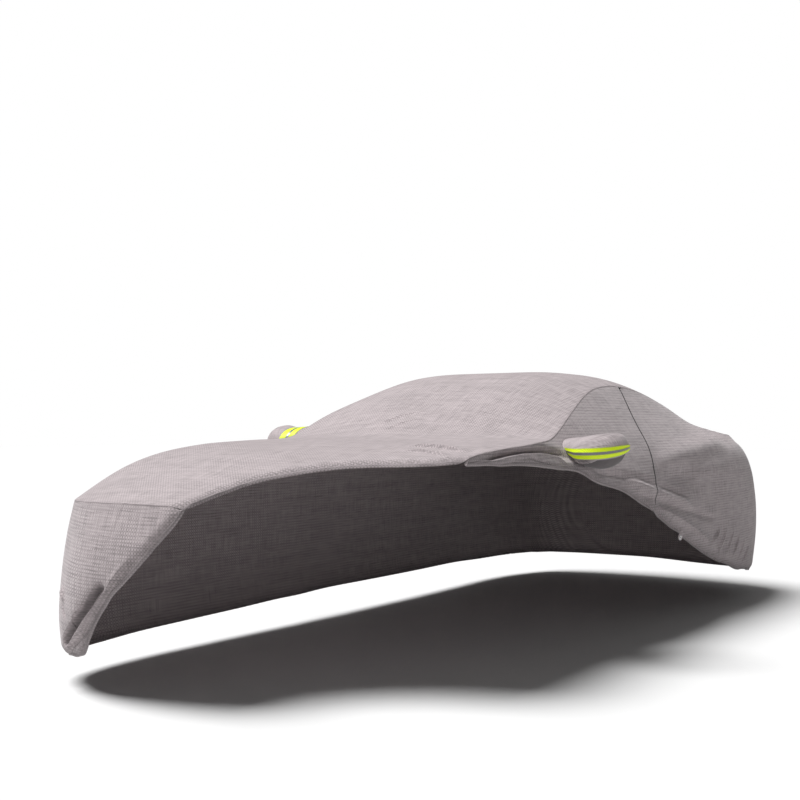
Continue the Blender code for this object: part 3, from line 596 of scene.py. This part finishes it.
def relief(points):
    """How far the cloth stands out from its smooth shape."""
    total = sum(crease.measure(points)[0] for crease in creases.values())
    hem = distance_to(hem_tree, points)
    off_tab = smooth_step(np.linalg.norm(points - TAB_PLACE, axis=1) / TAB_REACH - TAB_STILL)
    total -= HEM_ROLL * np.clip(1 - hem / HEM_ROLL_WIDTH, 0, None) ** 2 * off_tab
    gathered = np.maximum(smooth_step((-points[:, 0] - FAR_SIDE[0]) / FAR_SIDE[1]),
                          smooth_step((points[:, 1] - TAIL[0]) / TAIL[1]))
    gathered *= smooth_step((points[:, 1] - NOSE_CORNER[0]) / NOSE_CORNER[1])
    along = round_the_cover(points)
    wobble = np.array([noise.noise(Vector((a * GATHER_NOISE, 0, 0))) for a in along])
    waves = np.sin(2 * math.pi * along / GATHER_PITCH + GATHER_WANDER * wobble)
    waves *= GATHER_MEAN + GATHER_VARY * wobble
    total += GATHER_HEIGHT * waves * np.clip(1 - hem / GATHER_FADE, 0, None) ** 2 * gathered
    seam = distance_to(seam_tree, points)
    total -= PUCKER_DEPTH * np.clip(1 - seam / PUCKER_WIDTH, 0, None) ** 2
    uneven = np.array([noise.noise(Vector(point) / UNEVEN_SIZE) for point in points])
    total += UNEVEN_HEIGHT * uneven
    return total * stillness(points)


def mark_shade(thing, values):
    """Keep how dark each point is as the attribute shade."""
    layer = thing.data.attributes.new("shade", "FLOAT", "POINT")
    layer.data.foreach_set("value", values)


def shape(thing):
    """Move every point of a sheet by the relief, along normals that two sheets share at their seam."""
    points, ways = coordinates(thing), normals(thing)
    # painted shade, darker towards the hem and on the steep side of the tightest folds, kept for the finish
    at_hem = HEM_SHADE * smooth_step(1 - distance_to(hem_tree, points) / HEM_SHADE_WIDTH)
    in_folds = [dark * creases[name].measure(points)[2] for name, dark in FOLD_SHADE.items()]
    mark_shade(thing, np.max([at_hem, *in_folds], axis=0))
    for index, point in enumerate(points):
        _, found, distance = seam_tree.find(Vector(point))
        if distance < SEAM_BLEND:
            share = 1 - distance / SEAM_BLEND
            ways[index] = Vector(ways[index]).lerp(seam_normals[found], share).normalized()
    place_points(thing, points + ways * relief(points)[:, None])


for name, sheet in sheets.items():
    before = coordinates(sheet)
    shape(sheet)
    moved = np.linalg.norm(coordinates(sheet) - before, axis=1)
    print(f"{name} moved by {moved.mean() * 1000:.1f} mm on average and {moved.max() * 1000:.1f} mm at most")

# %% [markdown]
# ## Pockets, tapes and tab
# The mirror pockets, the reflective tapes on them and the eyelet's tab are rounded in the same way as the
# panels, but they stay where they are. Only the near pocket has folds: the cloth under its tape is tucked
# in, and a corner of it stands out as a small flap. Shade is painted on the tucked cloth.

# %% Sewn-on sheets
SEWN_ON = {
    "left_pocket_cloth": ("mirror_pocket_left", 2, 0.42, 0.56, 0.19),
    "right_pocket_cloth": ("mirror_pocket_right", 2, 0.42, 0.60, 0.21),
    "left_tape_upper": ("tape_upper_left", 2, 0.016, 0.49, None),
    "left_tape_lower": ("tape_lower_left", 2, 0.016, 0.49, None),
    "left_reflector": ("strip_left", 2, 0.010, 0.42, None),
    "right_tape_inner": ("tape_inner_right", 2, 0.020, 0.62, None),
    "right_tape_outer": ("tape_outer_right", 2, 0.020, 0.69, None),
    "right_reflector": ("strip_right", 2, 0.010, 0.42, None),
    "tab_cloth": ("eyelet_tab", 1, 0.05, 0.05, None),
}
sewn_on = {name: open_sheet(name, node, levels) for name, (node, levels, *_) in SEWN_ON.items()}

TUCK_DEPTH, TUCK_START = 0.010, 0.014
TUCK_OUTSIDE, TUCK_BLEND = 0.875, 0.03      # only the part of the pocket outside this x is tucked
FLAP_PIXELS = (576, 459), (600, 459.5), (588, 466)      # its two corners at the tape, and its tip
FLAP_LIFT, FLAP_SOFT = 0.006, 0.008
TAPE_END, TAPE_SLICES, SLICE_REACH = 0.004, 16, 0.012
tape_points = coordinates(sewn_on["left_tape_lower"])
tape_ends = tape_points[:, 1].min() + TAPE_END, tape_points[:, 1].max() - TAPE_END
tape_places = np.linspace(*tape_ends, TAPE_SLICES)
tape_bottoms = [tape_points[np.abs(tape_points[:, 1] - place) < SLICE_REACH, 2].min()
                for place in tape_places]


def tuck(thing):
    """Tuck in the cloth below the tape, but for the flap, and paint shade on what is tucked."""
    points, ways = coordinates(thing), normals(thing)
    tree = tree_of(thing)
    front, back, tip = (tree.ray_cast(camera.location, line_of_sight(*pixel))[0] for pixel in FLAP_PIXELS)
    middle, half = (front.y + back.y) / 2, abs(back.y - front.y) / 2
    drop = np.interp(tip.y, tape_places, tape_bottoms) - tip.z
    print(f"the flap is {2 * half:.3f} m wide at the tape and hangs {drop:.3f} m")
    below = np.interp(points[:, 1], tape_places, tape_bottoms) - points[:, 2]
    outside = smooth_step((points[:, 0] - TUCK_OUTSIDE) / TUCK_BLEND)
    reach = np.clip(1 - below / drop, 0, 1) * half
    flap = smooth_step((reach - np.abs(points[:, 1] - middle)) / FLAP_SOFT) * (below > 0)
    under = smooth_step(below / TUCK_START) * outside
    moves = FLAP_LIFT * flap * under - TUCK_DEPTH * under * (1 - flap)
    place_points(thing, points + ways * moves[:, None])
    # painted shade: the tucked cloth is darkened in the finish, the flap is not
    mark_shade(thing, under * (1 - flap))
    print(f"{thing.name}: {int((under > 0.5).sum())} points tucked in, {int((flap > 0.5).sum())} on the flap")


subdivide(sewn_on["left_pocket_cloth"], 1, subdivision_type="SIMPLE")
tuck(sewn_on["left_pocket_cloth"])

# %% [markdown]
# ## A map for the weave
# The weave has to run along the cloth, so each sheet gets a UV map in metres. The top is laid out from
# above. A skirt is unrolled: its length round the cover one way, and its height the other. A pocket is
# unrolled round its long axis.

# %% UV maps
POCKET_AXIS_X, POCKET_AXIS_Z, POCKET_ROUND = 0.88, -0.42, 0.09


def from_above(points):
    return points[:, :2]


def unrolled(points):
    return np.stack([round_the_cover(points), points[:, 2]], axis=1)


def round_a_pocket(points):
    turn = np.arctan2(points[:, 2] - POCKET_AXIS_Z, np.abs(points[:, 0]) - POCKET_AXIS_X)
    return np.stack([points[:, 1], POCKET_ROUND * turn], axis=1)


def map_cloth(thing, plan):
    flat = plan(coordinates(thing))
    layer = thing.data.uv_layers.new(name="cloth")
    corners = np.empty(len(thing.data.loops), int)
    thing.data.loops.foreach_get("vertex_index", corners)
    layer.data.foreach_set("uv", flat[corners].ravel())


for name, sheet in sheets.items():
    map_cloth(sheet, from_above if name == "top_cloth" else unrolled)
for name, sheet in sewn_on.items():
    map_cloth(sheet, unrolled if name == "tab_cloth" else round_a_pocket)
print(len(sheets) + len(sewn_on), "sheets have a map in metres")

# %% [markdown]
# ## Sweeping a section along a border
# A hem is the border of the cloth folded over an elastic and sewn down, so it is a flat, rounded band. A
# seam has a tape in it, which closes the gap between two panels just below their outside. Both are a small
# section that is carried along the border, and narrows at both ends. At each place the section needs three
# directions: along the border, away from it over the cloth, and out of the cloth.

# %% Sweeps
TAPER_LENGTH, TAPER_SIZE = 0.05, 0.35   # a swept piece narrows to this share of its width at its ends


def lengths_along(places):
    """The length of a route up to each of its points."""
    return np.concatenate([[0], np.cumsum(np.linalg.norm(np.diff(places, axis=0), axis=1))])


def even_steps(places, others, step):
    """A route resampled in even steps, with what belongs to its points."""
    lengths = lengths_along(places)
    spots = np.linspace(0, lengths[-1], max(3, round(lengths[-1] / step) + 1))
    return [np.stack([np.interp(spots, lengths, row) for row in values.T], axis=1)
            for values in (places, *others)]


def unit(vectors):
    return vectors / np.maximum(np.linalg.norm(vectors, axis=1), 1e-9)[:, None]


def smoothed(vectors, rounds=3):
    """Unit vectors that turn more evenly from one to the next."""
    for _ in range(rounds):
        padded = np.concatenate([vectors[:1], vectors, vectors[-1:]])
        vectors = unit(padded[:-2] + 2 * padded[1:-1] + padded[2:])
    return vectors


def border_frame(thing, indices, step):
    """Places along a border, directions over the cloth away from it, and directions out of the cloth."""
    centres = {index: [] for index in indices}
    for polygon in thing.data.polygons:
        for index in polygon.vertices:
            if index in centres:
                centres[index].append(polygon.center)
    points, ways = coordinates(thing)[indices], normals(thing)[indices]
    inner = np.array([np.mean([tuple(centre) for centre in centres[index]], axis=0) for index in indices])
    ways = smoothed(ways)
    across = smoothed(unit(np.cross(np.gradient(points, axis=0), ways)))
    across *= np.sign(((inner - points) * across).sum())
    return even_steps(points, (across, ways), step)


def sweep(name, frames, section, shade=0.0):
    """Carry a closed section of (across, out) points along routes, as one closed piece for each route."""
    builder = bmesh.new()
    layer = builder.loops.layers.uv.new("cloth")
    rounds = lengths_along(np.array([*section, section[0]]))
    for places, across, out in frames:
        lengths = lengths_along(places)
        from_end = np.minimum(lengths, lengths[-1] - lengths)
        sizes = TAPER_SIZE + (1 - TAPER_SIZE) * smooth_step(from_end / TAPER_LENGTH)
        rings = [[builder.verts.new(place + side * a * size + way * o) for a, o in section]
                 for place, side, way, size in zip(places, across, out, sizes)]
        for i, (ring, ahead) in enumerate(zip(rings[:-1], rings[1:])):
            for j in range(len(section)):
                k = (j + 1) % len(section)
                face = builder.faces.new((ring[j], ring[k], ahead[k], ahead[j]))
                spots = ((i, j), (i, j + 1), (i + 1, j + 1), (i + 1, j))
                for corner, (along, over) in zip(face.loops, spots):
                    corner[layer].uv = (lengths[along], rounds[over])
        builder.faces.new(rings[0])
        builder.faces.new(rings[-1])
    bmesh.ops.recalc_face_normals(builder, faces=builder.faces)
    thing = object_from(name, builder)
    mesh = thing.data
    mesh.shade_smooth()
    # every point of the piece gets the same painted shade
    mark_shade(thing, np.full(len(mesh.vertices), shade))
    print(name, "has", sum(len(polygon.vertices) - 2 for polygon in mesh.polygons), "triangles")
    return thing


# %% [markdown]
# ## Hem bands and seam tapes
# Each panel has its own hem band. The seam tapes lie inside the thickness of the cloth, one along each seam.

# %% Hems and tapes
HEM_SECTION = ((-0.0012, -0.0011), (0.0004, 0.0006), (0.005, 0.0011), (0.011, 0.0009), (0.0155, -0.0002),
               (0.0155, -0.0024), (0.011, -0.0040), (0.005, -0.0042), (0.0006, -0.0034))
TAPE_SECTION = ((-0.004, -0.0005), (0.004, -0.0005), (0.004, -0.0017), (-0.004, -0.0017))
HEM_STEP, TAPE_STEP = 0.004, 0.012
NOSE_SEAM_DEPTH = 0.0022    # the seam down the nose shows as a thin dark line
ZIP_SIDES = {"left_front_cloth", "left_rear_cloth"}

hem_bands, seam_routes = {}, []
for name, sheet in sheets.items():
    hems = [border_frame(sheet, indices, HEM_STEP) for owner, kind, indices in panel_runs
            if owner == name and kind == "hem"]
    if hems:
        # the hem band is darkened all over by the hem's painted shade
        hem_bands[name] = sweep(name.replace("cloth", "hem"), hems, HEM_SECTION, HEM_SHADE)
order = list(sheets)
for name, kind, indices in runs:
    if kind == "hole" or (kind in order and order.index(name) < order.index(kind)):
        places, across, out = border_frame(sheets[name], indices, TAPE_STEP)
        deeper = NOSE_SEAM_DEPTH if {name, kind} == {"right_cloth", "nose_cloth"} else 0
        seam_routes.append((places - out * deeper, across, out))
seam_tapes = sweep("seam_tapes", seam_routes, TAPE_SECTION)

# %% [markdown]
# ## Stitches
# One stitch is modelled: a short thread whose ends dive into the cloth. It is a thin cylinder that is cut
# across its middle, so that its ends can be pressed down. Its points are then copied all along the hems and
# seams, in a handful of pieces, because thousands of objects would be slow.

# %% Stitches
STITCH_LENGTH, STITCH_RADIUS, STITCH_PITCH = 0.0044, 0.00055, 0.0062
bpy.ops.mesh.primitive_cylinder_add(vertices=5, radius=STITCH_RADIUS, depth=STITCH_LENGTH,
                                    rotation=(0, math.pi / 2, 0))
stitch = bpy.context.object
bpy.ops.object.transform_apply(location=False, rotation=True, scale=False)
bpy.ops.object.mode_set(mode="EDIT")
bpy.ops.mesh.select_all(action="SELECT")
bpy.ops.mesh.bisect(plane_co=(0, 0, 0), plane_no=(1, 0, 0), use_fill=False)
bpy.ops.object.mode_set(mode="OBJECT")
for vertex in stitch.data.vertices:
    if abs(vertex.co.x) > STITCH_LENGTH / 4:
        vertex.co.z -= STITCH_RADIUS * 1.5
stitch_points = coordinates(stitch)
stitch_faces = [tuple(polygon.vertices) for polygon in stitch.data.polygons]
bpy.data.objects.remove(stitch)


def row_beside(thing, indices, inset, pitch=STITCH_PITCH, lift=0.0002):
    """Places on the cloth beside its border, with the directions along the row and out of the cloth."""
    places, across, _ = border_frame(thing, indices, pitch)
    tree = tree_of(thing)
    found = [tree.find_nearest(Vector(place)) for place in places + across * inset]
    spots = np.array([hit[0] for hit in found])
    out = np.array([hit[1] for hit in found])
    return spots + out * lift, unit(np.gradient(spots, axis=0)), out


def sew(name, rows, scale=1.0):
    """One piece with a stitch at each place of each row."""
    copies = []
    for places, along, out in rows:
        side = unit(np.cross(out, along))
        up = np.cross(along, side)
        x, y, z = (stitch_points[:, axis, None] * scale for axis in range(3))
        copies += [place + x * a + y * s + z * u for place, a, s, u in zip(places, along, side, up)]
    faces = [[index + i * len(stitch_points) for index in face]
             for i in range(len(copies)) for face in stitch_faces]
    mesh = bpy.data.meshes.new(name)
    mesh.from_pydata(np.concatenate(copies), [], faces)
    mesh.shade_smooth()
    print(f"{name}: {len(copies)} stitches, {sum(len(face) - 2 for face in faces)} triangles")
    return new_object(name, mesh)


HEM_INSET, SEAM_INSET, ZIP_INSET, TAPE_INSET, TAB_INSET = 0.0185, 0.0055, 0.0035, 0.0014, 0.0035
ZIP_PITCH, SMALL_PITCH, SEWN_LIFT = 0.005, 0.0045, 0.0007
SMALL, SMALLER = 0.8, 0.7   # stitches of this size beside the zip and on the tab, and on the tapes
rows = {"hem": [], "seam": [], "zip": []}
for name, kind, indices in panel_runs:
    if kind == "zip_strip":
        rows["zip"].append(row_beside(sheets[name], indices, ZIP_INSET, ZIP_PITCH))
    elif kind == "hem":
        rows["hem"].append(row_beside(sheets[name], indices, HEM_INSET))
    else:
        rows["seam"].append(row_beside(sheets[name], indices, SEAM_INSET))
hem_stitches, seam_stitches = sew("hem_stitches", rows["hem"]), sew("seam_stitches", rows["seam"])
zip_stitches = sew("zip_stitches", rows["zip"], SMALL)


def whole_border(thing, inset):
    loop = max(border_loops(thing), key=len)
    return row_beside(thing, [*loop, loop[0]], inset, SMALL_PITCH, SEWN_LIFT)


tape_rows = [whole_border(sheet, TAPE_INSET) for name, sheet in sewn_on.items() if "tape" in name]
tape_stitches = sew("tape_stitches", tape_rows, SMALLER)
tab_stitches = sew("tab_stitches", [whole_border(sewn_on["tab_cloth"], TAB_INSET)], SMALL)

# %% [markdown]
# ## The zip
# The zip is a tape with a coil along its middle. The coil is two rows of slanted loops that hook into each
# other, like a plait. Each loop is the same short bent thread as a stitch, turned across the tape.

# %% Zip
COIL_PITCH, COIL_OFFSET, COIL_LIFT = 0.0026, 0.0030 * 0.36, 0.0006
COIL_SLANT, COIL_SIZE = 0.45, 0.9
ZIP_SLICES, ZIP_END, FINE_STEP = 60, 0.01, 0.001    # places where its middle is worked out, as shares of it
points = coordinates(sheets["zip_strip"])
edges = [points[indices] for name, kind, indices in runs if name == "zip_strip" and kind in ZIP_SIDES]
edges = [edge if edge[0, 2] > edge[-1, 2] else edge[::-1] for edge in sorted(edges, key=len)[-2:]]
shares = np.linspace(ZIP_END, 1 - ZIP_END, ZIP_SLICES)
middle = np.mean([[edge[round(share * (len(edge) - 1))] for share in shares]
                  for edge in (even_steps(edge, (), FINE_STEP)[0] for edge in edges)], axis=0)
spots = even_steps(middle, (), COIL_PITCH)[0]
zip_tree = tree_of(sheets["zip_strip"])
out = np.array([zip_tree.find_nearest(Vector(spot))[1] for spot in spots])
along = unit(np.gradient(spots, axis=0))
side = unit(np.cross(out, along))
loops = []
for turn in (1, -1):
    slanted = unit(side * turn + along * COIL_SLANT)
    loops.append((spots + side * turn * COIL_OFFSET + out * COIL_LIFT, slanted, out))
zip_coil = sew("zip_coil", loops, COIL_SIZE)

# %% [markdown]
# ## Writing finishes
# A finish is a tree of shader nodes. Written out one by one, the nodes hide the sum that they make. A small
# class wraps a socket and overloads the operators, so a pattern is written as the formula it is.

# %% Node helpers


class Value:
    """A socket of a material's nodes. Sums with it add Math nodes."""

    def __init__(self, finish, socket):
        self.finish, self.socket = finish, socket

    def __add__(self, other):
        return self.finish.math("ADD", self, other)

    def __mul__(self, other):
        return self.finish.math("MULTIPLY", self, other)

    def __sub__(self, other):
        return self.finish.math("SUBTRACT", self, other)

    def __rsub__(self, other):
        return self.finish.math("SUBTRACT", other, self)

    __radd__, __rmul__ = __add__, __mul__


class Finish:
    """A material and the nodes that it is made of."""

    def __init__(self, name, roughness, metallic=0.0, sheen=0.0):
        self.material = bpy.data.materials.new(name)
        self.material.use_nodes = True
        self.tree = self.material.node_tree
        self.shader = self.tree.nodes["Principled BSDF"]
        self.shader.inputs["Roughness"].default_value = roughness
        self.shader.inputs["Metallic"].default_value = metallic
        self.shader.inputs["Sheen Weight"].default_value = sheen

    def node(self, kind, settings=None, out=0, **inputs):
        """Add a node, set its settings, then its inputs, and return one of its outputs."""
        node = self.tree.nodes.new(kind)
        for key, value in (settings or {}).items():
            setattr(node, key, value)
        for key, value in inputs.items():
            self.feed(node.inputs[int(key[1:]) if key[0] == "_" else key], value)
        return Value(self, node.outputs[out])

    def feed(self, socket, value):
        if isinstance(value, Value):
            self.tree.links.new(value.socket, socket)
        else:
            socket.default_value = value

    def math(self, operation, *values, clamp=False):
        inputs = {f"_{index}": value for index, value in enumerate(values)}
        return self.node("ShaderNodeMath", {"operation": operation, "use_clamp": clamp}, **inputs)

    def mix(self, share, first, second):
        """A colour between two others."""
        return self.node("ShaderNodeMix", {"data_type": "RGBA"}, out=2, _0=share, _6=first, _7=second)

    def place(self):
        """Where a point is, in Object coordinates."""
        return self.node("ShaderNodeTexCoord", out=3)

    def map(self):
        """Where a point is on the flat cloth, in metres."""
        return self.node("ShaderNodeUVMap", {"uv_map": "cloth"})

    def noise(self, vector, scale, detail=2.0):
        return self.node("ShaderNodeTexNoise", Vector=vector, Scale=scale, Detail=detail)

    def ribs(self, direction, scale, distortion):
        settings = {"bands_direction": direction}
        inputs = {"Vector": self.map(), "Scale": scale, "Distortion": distortion}
        return self.node("ShaderNodeTexWave", settings, out=1, **inputs)

    def bump(self, height, strength, distance, below=None):
        inputs = {"Height": height, "Strength": strength, "Distance": distance}
        if below:
            inputs["Normal"] = below
        return self.node("ShaderNodeBump", **inputs)

    def paint(self, socket, value):
        self.feed(self.shader.inputs[socket], value)

    def two_tone(self, pattern, first, second, strength=0.0, distance=0.0):
        """Let a fine pattern mix two colours and, where it has a strength, raise the surface."""
        colour = self.mix(pattern, first, second)
        self.paint("Base Color", colour)
        if strength:
            self.paint("Normal", self.bump(pattern, strength, distance))
        return colour


# %% [markdown]
# ## The cloth
# The photograph shows a warm grey cloth with a fine dotted weave, and thicker yarns that run through it here
# and there, more across than along. Two sine waves make the dots where warp and weft cross, and noise that
# is stretched one way makes the thick yarns. Shade is painted along its hem, in its tightest folds, and
# much darker where the near pocket is tucked in below its tape, so the finish also reads the shade that
# each point was given. The pockets have a closer cloth, on which the dots are fainter.

# %% Cloth finish
WEAVE_PITCH = 0.0150
WEFT_YARNS, WARP_YARNS, STREAKS = (7, 130), (110, 8), (2.5, 24)     # patches of noise a metre, along and over
LIGHT_YARN, DARK_YARN = (0.46, 0.399, 0.409, 1), (0.20, 0.174, 0.178, 1)
# the colour that painted shade darkens the cloth towards, and how far at most
PAINTED_SHADE_COLOUR, SHADE_SHARE = (0.075, 0.066, 0.068, 1), 0.9


def cloth_finish(name, dots=1.0):
    finish = Finish(name, roughness=0.88, sheen=0.15)
    parts = finish.tree.nodes.new("ShaderNodeSeparateXYZ")
    finish.feed(parts.inputs[0], finish.map())
    u, v = Value(finish, parts.outputs[0]), Value(finish, parts.outputs[1])
    where = finish.place()

    def stretched(cells):
        return finish.node("ShaderNodeCombineXYZ", _0=u * cells[0], _1=v * cells[1])

    warp = finish.math("SINE", u * (2 * math.pi / WEAVE_PITCH))
    weft = finish.math("SINE", v * (2 * math.pi / WEAVE_PITCH))
    grid = (warp + 0.45) * weft * 0.6 + warp * 0.2
    across = stretched(WEFT_YARNS)
    thick_weft = finish.noise(across, 1.0) - 0.5
    thick_warp = finish.noise(stretched(WARP_YARNS), 1.0) - 0.5
    slubs = finish.math("MULTIPLY", finish.noise(across, 1.0, 0.0) - 0.62, 6.0, clamp=True)
    streaks = finish.noise(stretched(STREAKS), 1.0, 3.0) - 0.5
    patches = finish.noise(where, 5.0, 2.0) - 0.5
    blotches = finish.noise(where, 2.5, 3.0) - 0.5
    dotted = grid * (patches * 2.0 + 0.6) * dots
    pattern = dotted + thick_weft * 1.3 + thick_warp + streaks * 0.6 + blotches * 0.2
    share = finish.math("ADD", pattern - slubs * 0.6, 0.55, clamp=True)
    yarns = finish.mix(share, DARK_YARN, LIGHT_YARN)
    # painted shade: the shade attribute darkens the yarns towards the shade colour
    shade = finish.node("ShaderNodeAttribute", {"attribute_name": "shade"}, out=2)
    finish.paint("Base Color", finish.mix(shade * SHADE_SHARE, yarns, PAINTED_SHADE_COLOUR))
    relief_of_yarns = finish.bump(grid * 0.4 + thick_weft * 0.8 + thick_warp * 0.5, 0.35, 0.0012)
    finish.paint("Normal", finish.bump(finish.noise(where, 22.0, 3.0), 0.22, 0.006, below=relief_of_yarns))
    print(name, "has", len(finish.tree.nodes), "nodes")
    return finish


cloth = cloth_finish("woven_cloth")
pocket_cloth = cloth_finish("pocket_cloth", dots=0.35)

# %% [markdown]
# ## Thread, tapes, zip and eyelet
# The thread has the tone of the cloth. The safety tape is a ribbed weave in fluorescent yellow, which seems
# to glow, so part of its colour is emitted. The reflective strip is covered with tiny beads. The zip is
# black nylon, and the eyelet is plated steel with fine scratches.

# %% Small finishes
thread = Finish("thread", roughness=0.7)
thread.two_tone(thread.noise(thread.place(), 900.0, 1.0), (0.27, 0.235, 0.241, 1), (0.39, 0.339, 0.347, 1))

yellow_tape = Finish("fluorescent_tape", roughness=0.55)
yellow = yellow_tape.two_tone(yellow_tape.ribs("X", 120.0, 0.6), (0.54, 0.72, 0.004, 1),
                              (0.72, 0.90, 0.008, 1), 0.3, 0.0006)
yellow_tape.paint("Emission Color", yellow)
yellow_tape.shader.inputs["Emission Strength"].default_value = 0.14

silver_strip = Finish("reflective_strip", roughness=0.35, metallic=0.35)
beads = silver_strip.node("ShaderNodeTexVoronoi", Vector=silver_strip.place(), Scale=900.0)
silver_strip.two_tone(beads, (0.30, 0.30, 0.33, 1), (0.16, 0.16, 0.18, 1), 0.3, 0.0004)

black_zip = Finish("black_zip", roughness=0.5)
black_zip.two_tone(black_zip.ribs("DIAGONAL", 260.0, 0.3), (0.012, 0.012, 0.013, 1),
                   (0.035, 0.035, 0.037, 1), 0.4, 0.0005)

metal = Finish("plated_eyelet", roughness=0.25, metallic=1.0)
scratches = metal.noise(metal.place(), 1400.0, 4.0)
metal.two_tone(scratches, (0.40, 0.40, 0.41, 1), (0.62, 0.62, 0.61, 1))
metal.paint("Roughness", scratches * 0.35 + 0.12)
for finish in (thread, yellow_tape, silver_strip, black_zip, metal):
    print(finish.material.name, "has", len(finish.tree.nodes), "nodes")

# %% [markdown]
# Solidify gives each sheet its thickness inwards, so the outside stays where it is. The border edges are
# marked sharp, or smooth shading would carry the rim's normals into the cloth as a dark line. Then every
# piece gets its finish and is attached to the cover, and the solid that a sheet stands for is hidden.

# %% Thickness and finish
CLOTH_THICKNESS, TAPE_THICKNESS = 0.0022, 0.0007


def give_thickness(thing, thickness):
    solid = thing.modifiers.new("thickness", "SOLIDIFY")
    solid.thickness = thickness
    solid.offset = -1
    thing.data.shade_smooth()
    border = set(border_edges(thing))
    for edge in thing.data.edges:
        edge.use_edge_sharp = edge.key in border


def finish_off(thing, finish, node=None):
    thing.data.materials.append(finish.material)
    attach(thing, "root")
    if node:
        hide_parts(node)


FINISHES = {"tape": (yellow_tape, "yellow_tape"), "reflector": (silver_strip, "silver_strip"),
            "zip": (black_zip, "zip_tape"), "pocket": (pocket_cloth, "cloth")}
every_sheet, every_row = {**sheets, **sewn_on}, {**PANELS, **SEWN_ON}
for name, sheet in every_sheet.items():
    finish, slot = next((row for word, row in FINISHES.items() if word in name), (cloth, "cloth"))
    thin = slot in ("yellow_tape", "silver_strip")
    give_thickness(sheet, TAPE_THICKNESS if thin else CLOTH_THICKNESS)
    finish_off(sheet, finish, every_row[name][0])
for band in (*hem_bands.values(), seam_tapes):
    finish_off(band, cloth)
for piece in (hem_stitches, seam_stitches, tab_stitches, tape_stitches):
    finish_off(piece, thread)
for piece in (zip_coil, zip_stitches):
    finish_off(piece, black_zip)
for slot in frame["nodes"]["eyelet"].material_slots:
    slot.material = metal.material

extras = {
    "top_cloth": [seam_tapes, seam_stitches, hem_stitches],
    "left_rear_cloth": [tab_stitches],
    "left_tape_upper": [tape_stitches],
    "zip_strip": [zip_coil, zip_stitches],
}
for name, sheet in every_sheet.items():
    goes_with = ([hem_bands[name]] if name in hem_bands else []) + extras.get(name, [])
print(len(every_sheet), "sheets of cloth, with", len(hem_bands), "hems")

# %% [markdown]
# ## Floor and light
# A pale floor runs out to a white surround. The surround shows white to the camera but gives only a little
# light. One broad soft light stands high on the cover's right and a little towards its nose, so the left
# side keeps its shade. It is a sun with a wide disc, because its light is the same everywhere and the floor
# stays white to the horizon.

# %% Stage
FLOOR_Z, FLOOR_SIZE = -1.4245, 80
bpy.ops.mesh.primitive_plane_add(size=FLOOR_SIZE, location=(0, 0, FLOOR_Z))
floor = bpy.context.object
floor.name = "floor"
floor_finish = Finish("pale_floor", roughness=0.9)
mottle = floor_finish.noise(floor_finish.place(), 3.0)
floor_finish.two_tone(mottle, (0.63, 0.63, 0.63, 1), (0.65, 0.65, 0.65, 1))
floor.data.materials.append(floor_finish.material)
floor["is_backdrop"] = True

SURROUND_LIGHT, SURROUND_SHOWN = 0.14, 1.0
world = bpy.data.worlds.new("studio")
bpy.context.scene.world = world
world.use_nodes = True
nodes, links = world.node_tree.nodes, world.node_tree.links
seen = nodes.new("ShaderNodeLightPath")
either = nodes.new("ShaderNodeMixShader")
links.new(seen.outputs["Is Camera Ray"], either.inputs[0])
backgrounds = nodes["Background"], nodes.new("ShaderNodeBackground")
for index, (background, strength) in enumerate(zip(backgrounds, (SURROUND_LIGHT, SURROUND_SHOWN)), 1):
    background.inputs["Color"].default_value = (1, 1, 1, 1)
    background.inputs["Strength"].default_value = strength
    links.new(background.outputs[0], either.inputs[index])
links.new(either.outputs[0], nodes["World Output"].inputs["Surface"])

SUN_FROM, SUN_DISTANCE = Vector((-0.32, -0.22, 0.92)), 6
SUN_POWER, SUN_SPREAD = 5.1, math.radians(30)
bpy.ops.object.light_add(type="SUN", location=SUN_FROM * SUN_DISTANCE)
sun = bpy.context.object
sun.name = "studio_light"
sun.data.energy, sun.data.angle = SUN_POWER, SUN_SPREAD
sun.rotation_euler = SUN_FROM.to_track_quat("Z", "Y").to_euler()
bpy.context.scene.view_settings.view_transform = "Standard"
print("floor at", FLOOR_Z, "m, sun of", SUN_POWER, "W a square metre")

# %% [markdown]
# ## Sizes
# The sizes of the solid model and of the dressed cover along each axis. The dressed cover may be no larger
# than its solid model, but for a little that cloth stands proud.

# %% Sizes
shown_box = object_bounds()
for axis in range(3):
    was, now = (box[1][axis] - box[0][axis] for box in (cad_box, shown_box))
    print(f"{'XYZ'[axis]}: solid model {was:.4f} m, dressed {now:.4f} m")
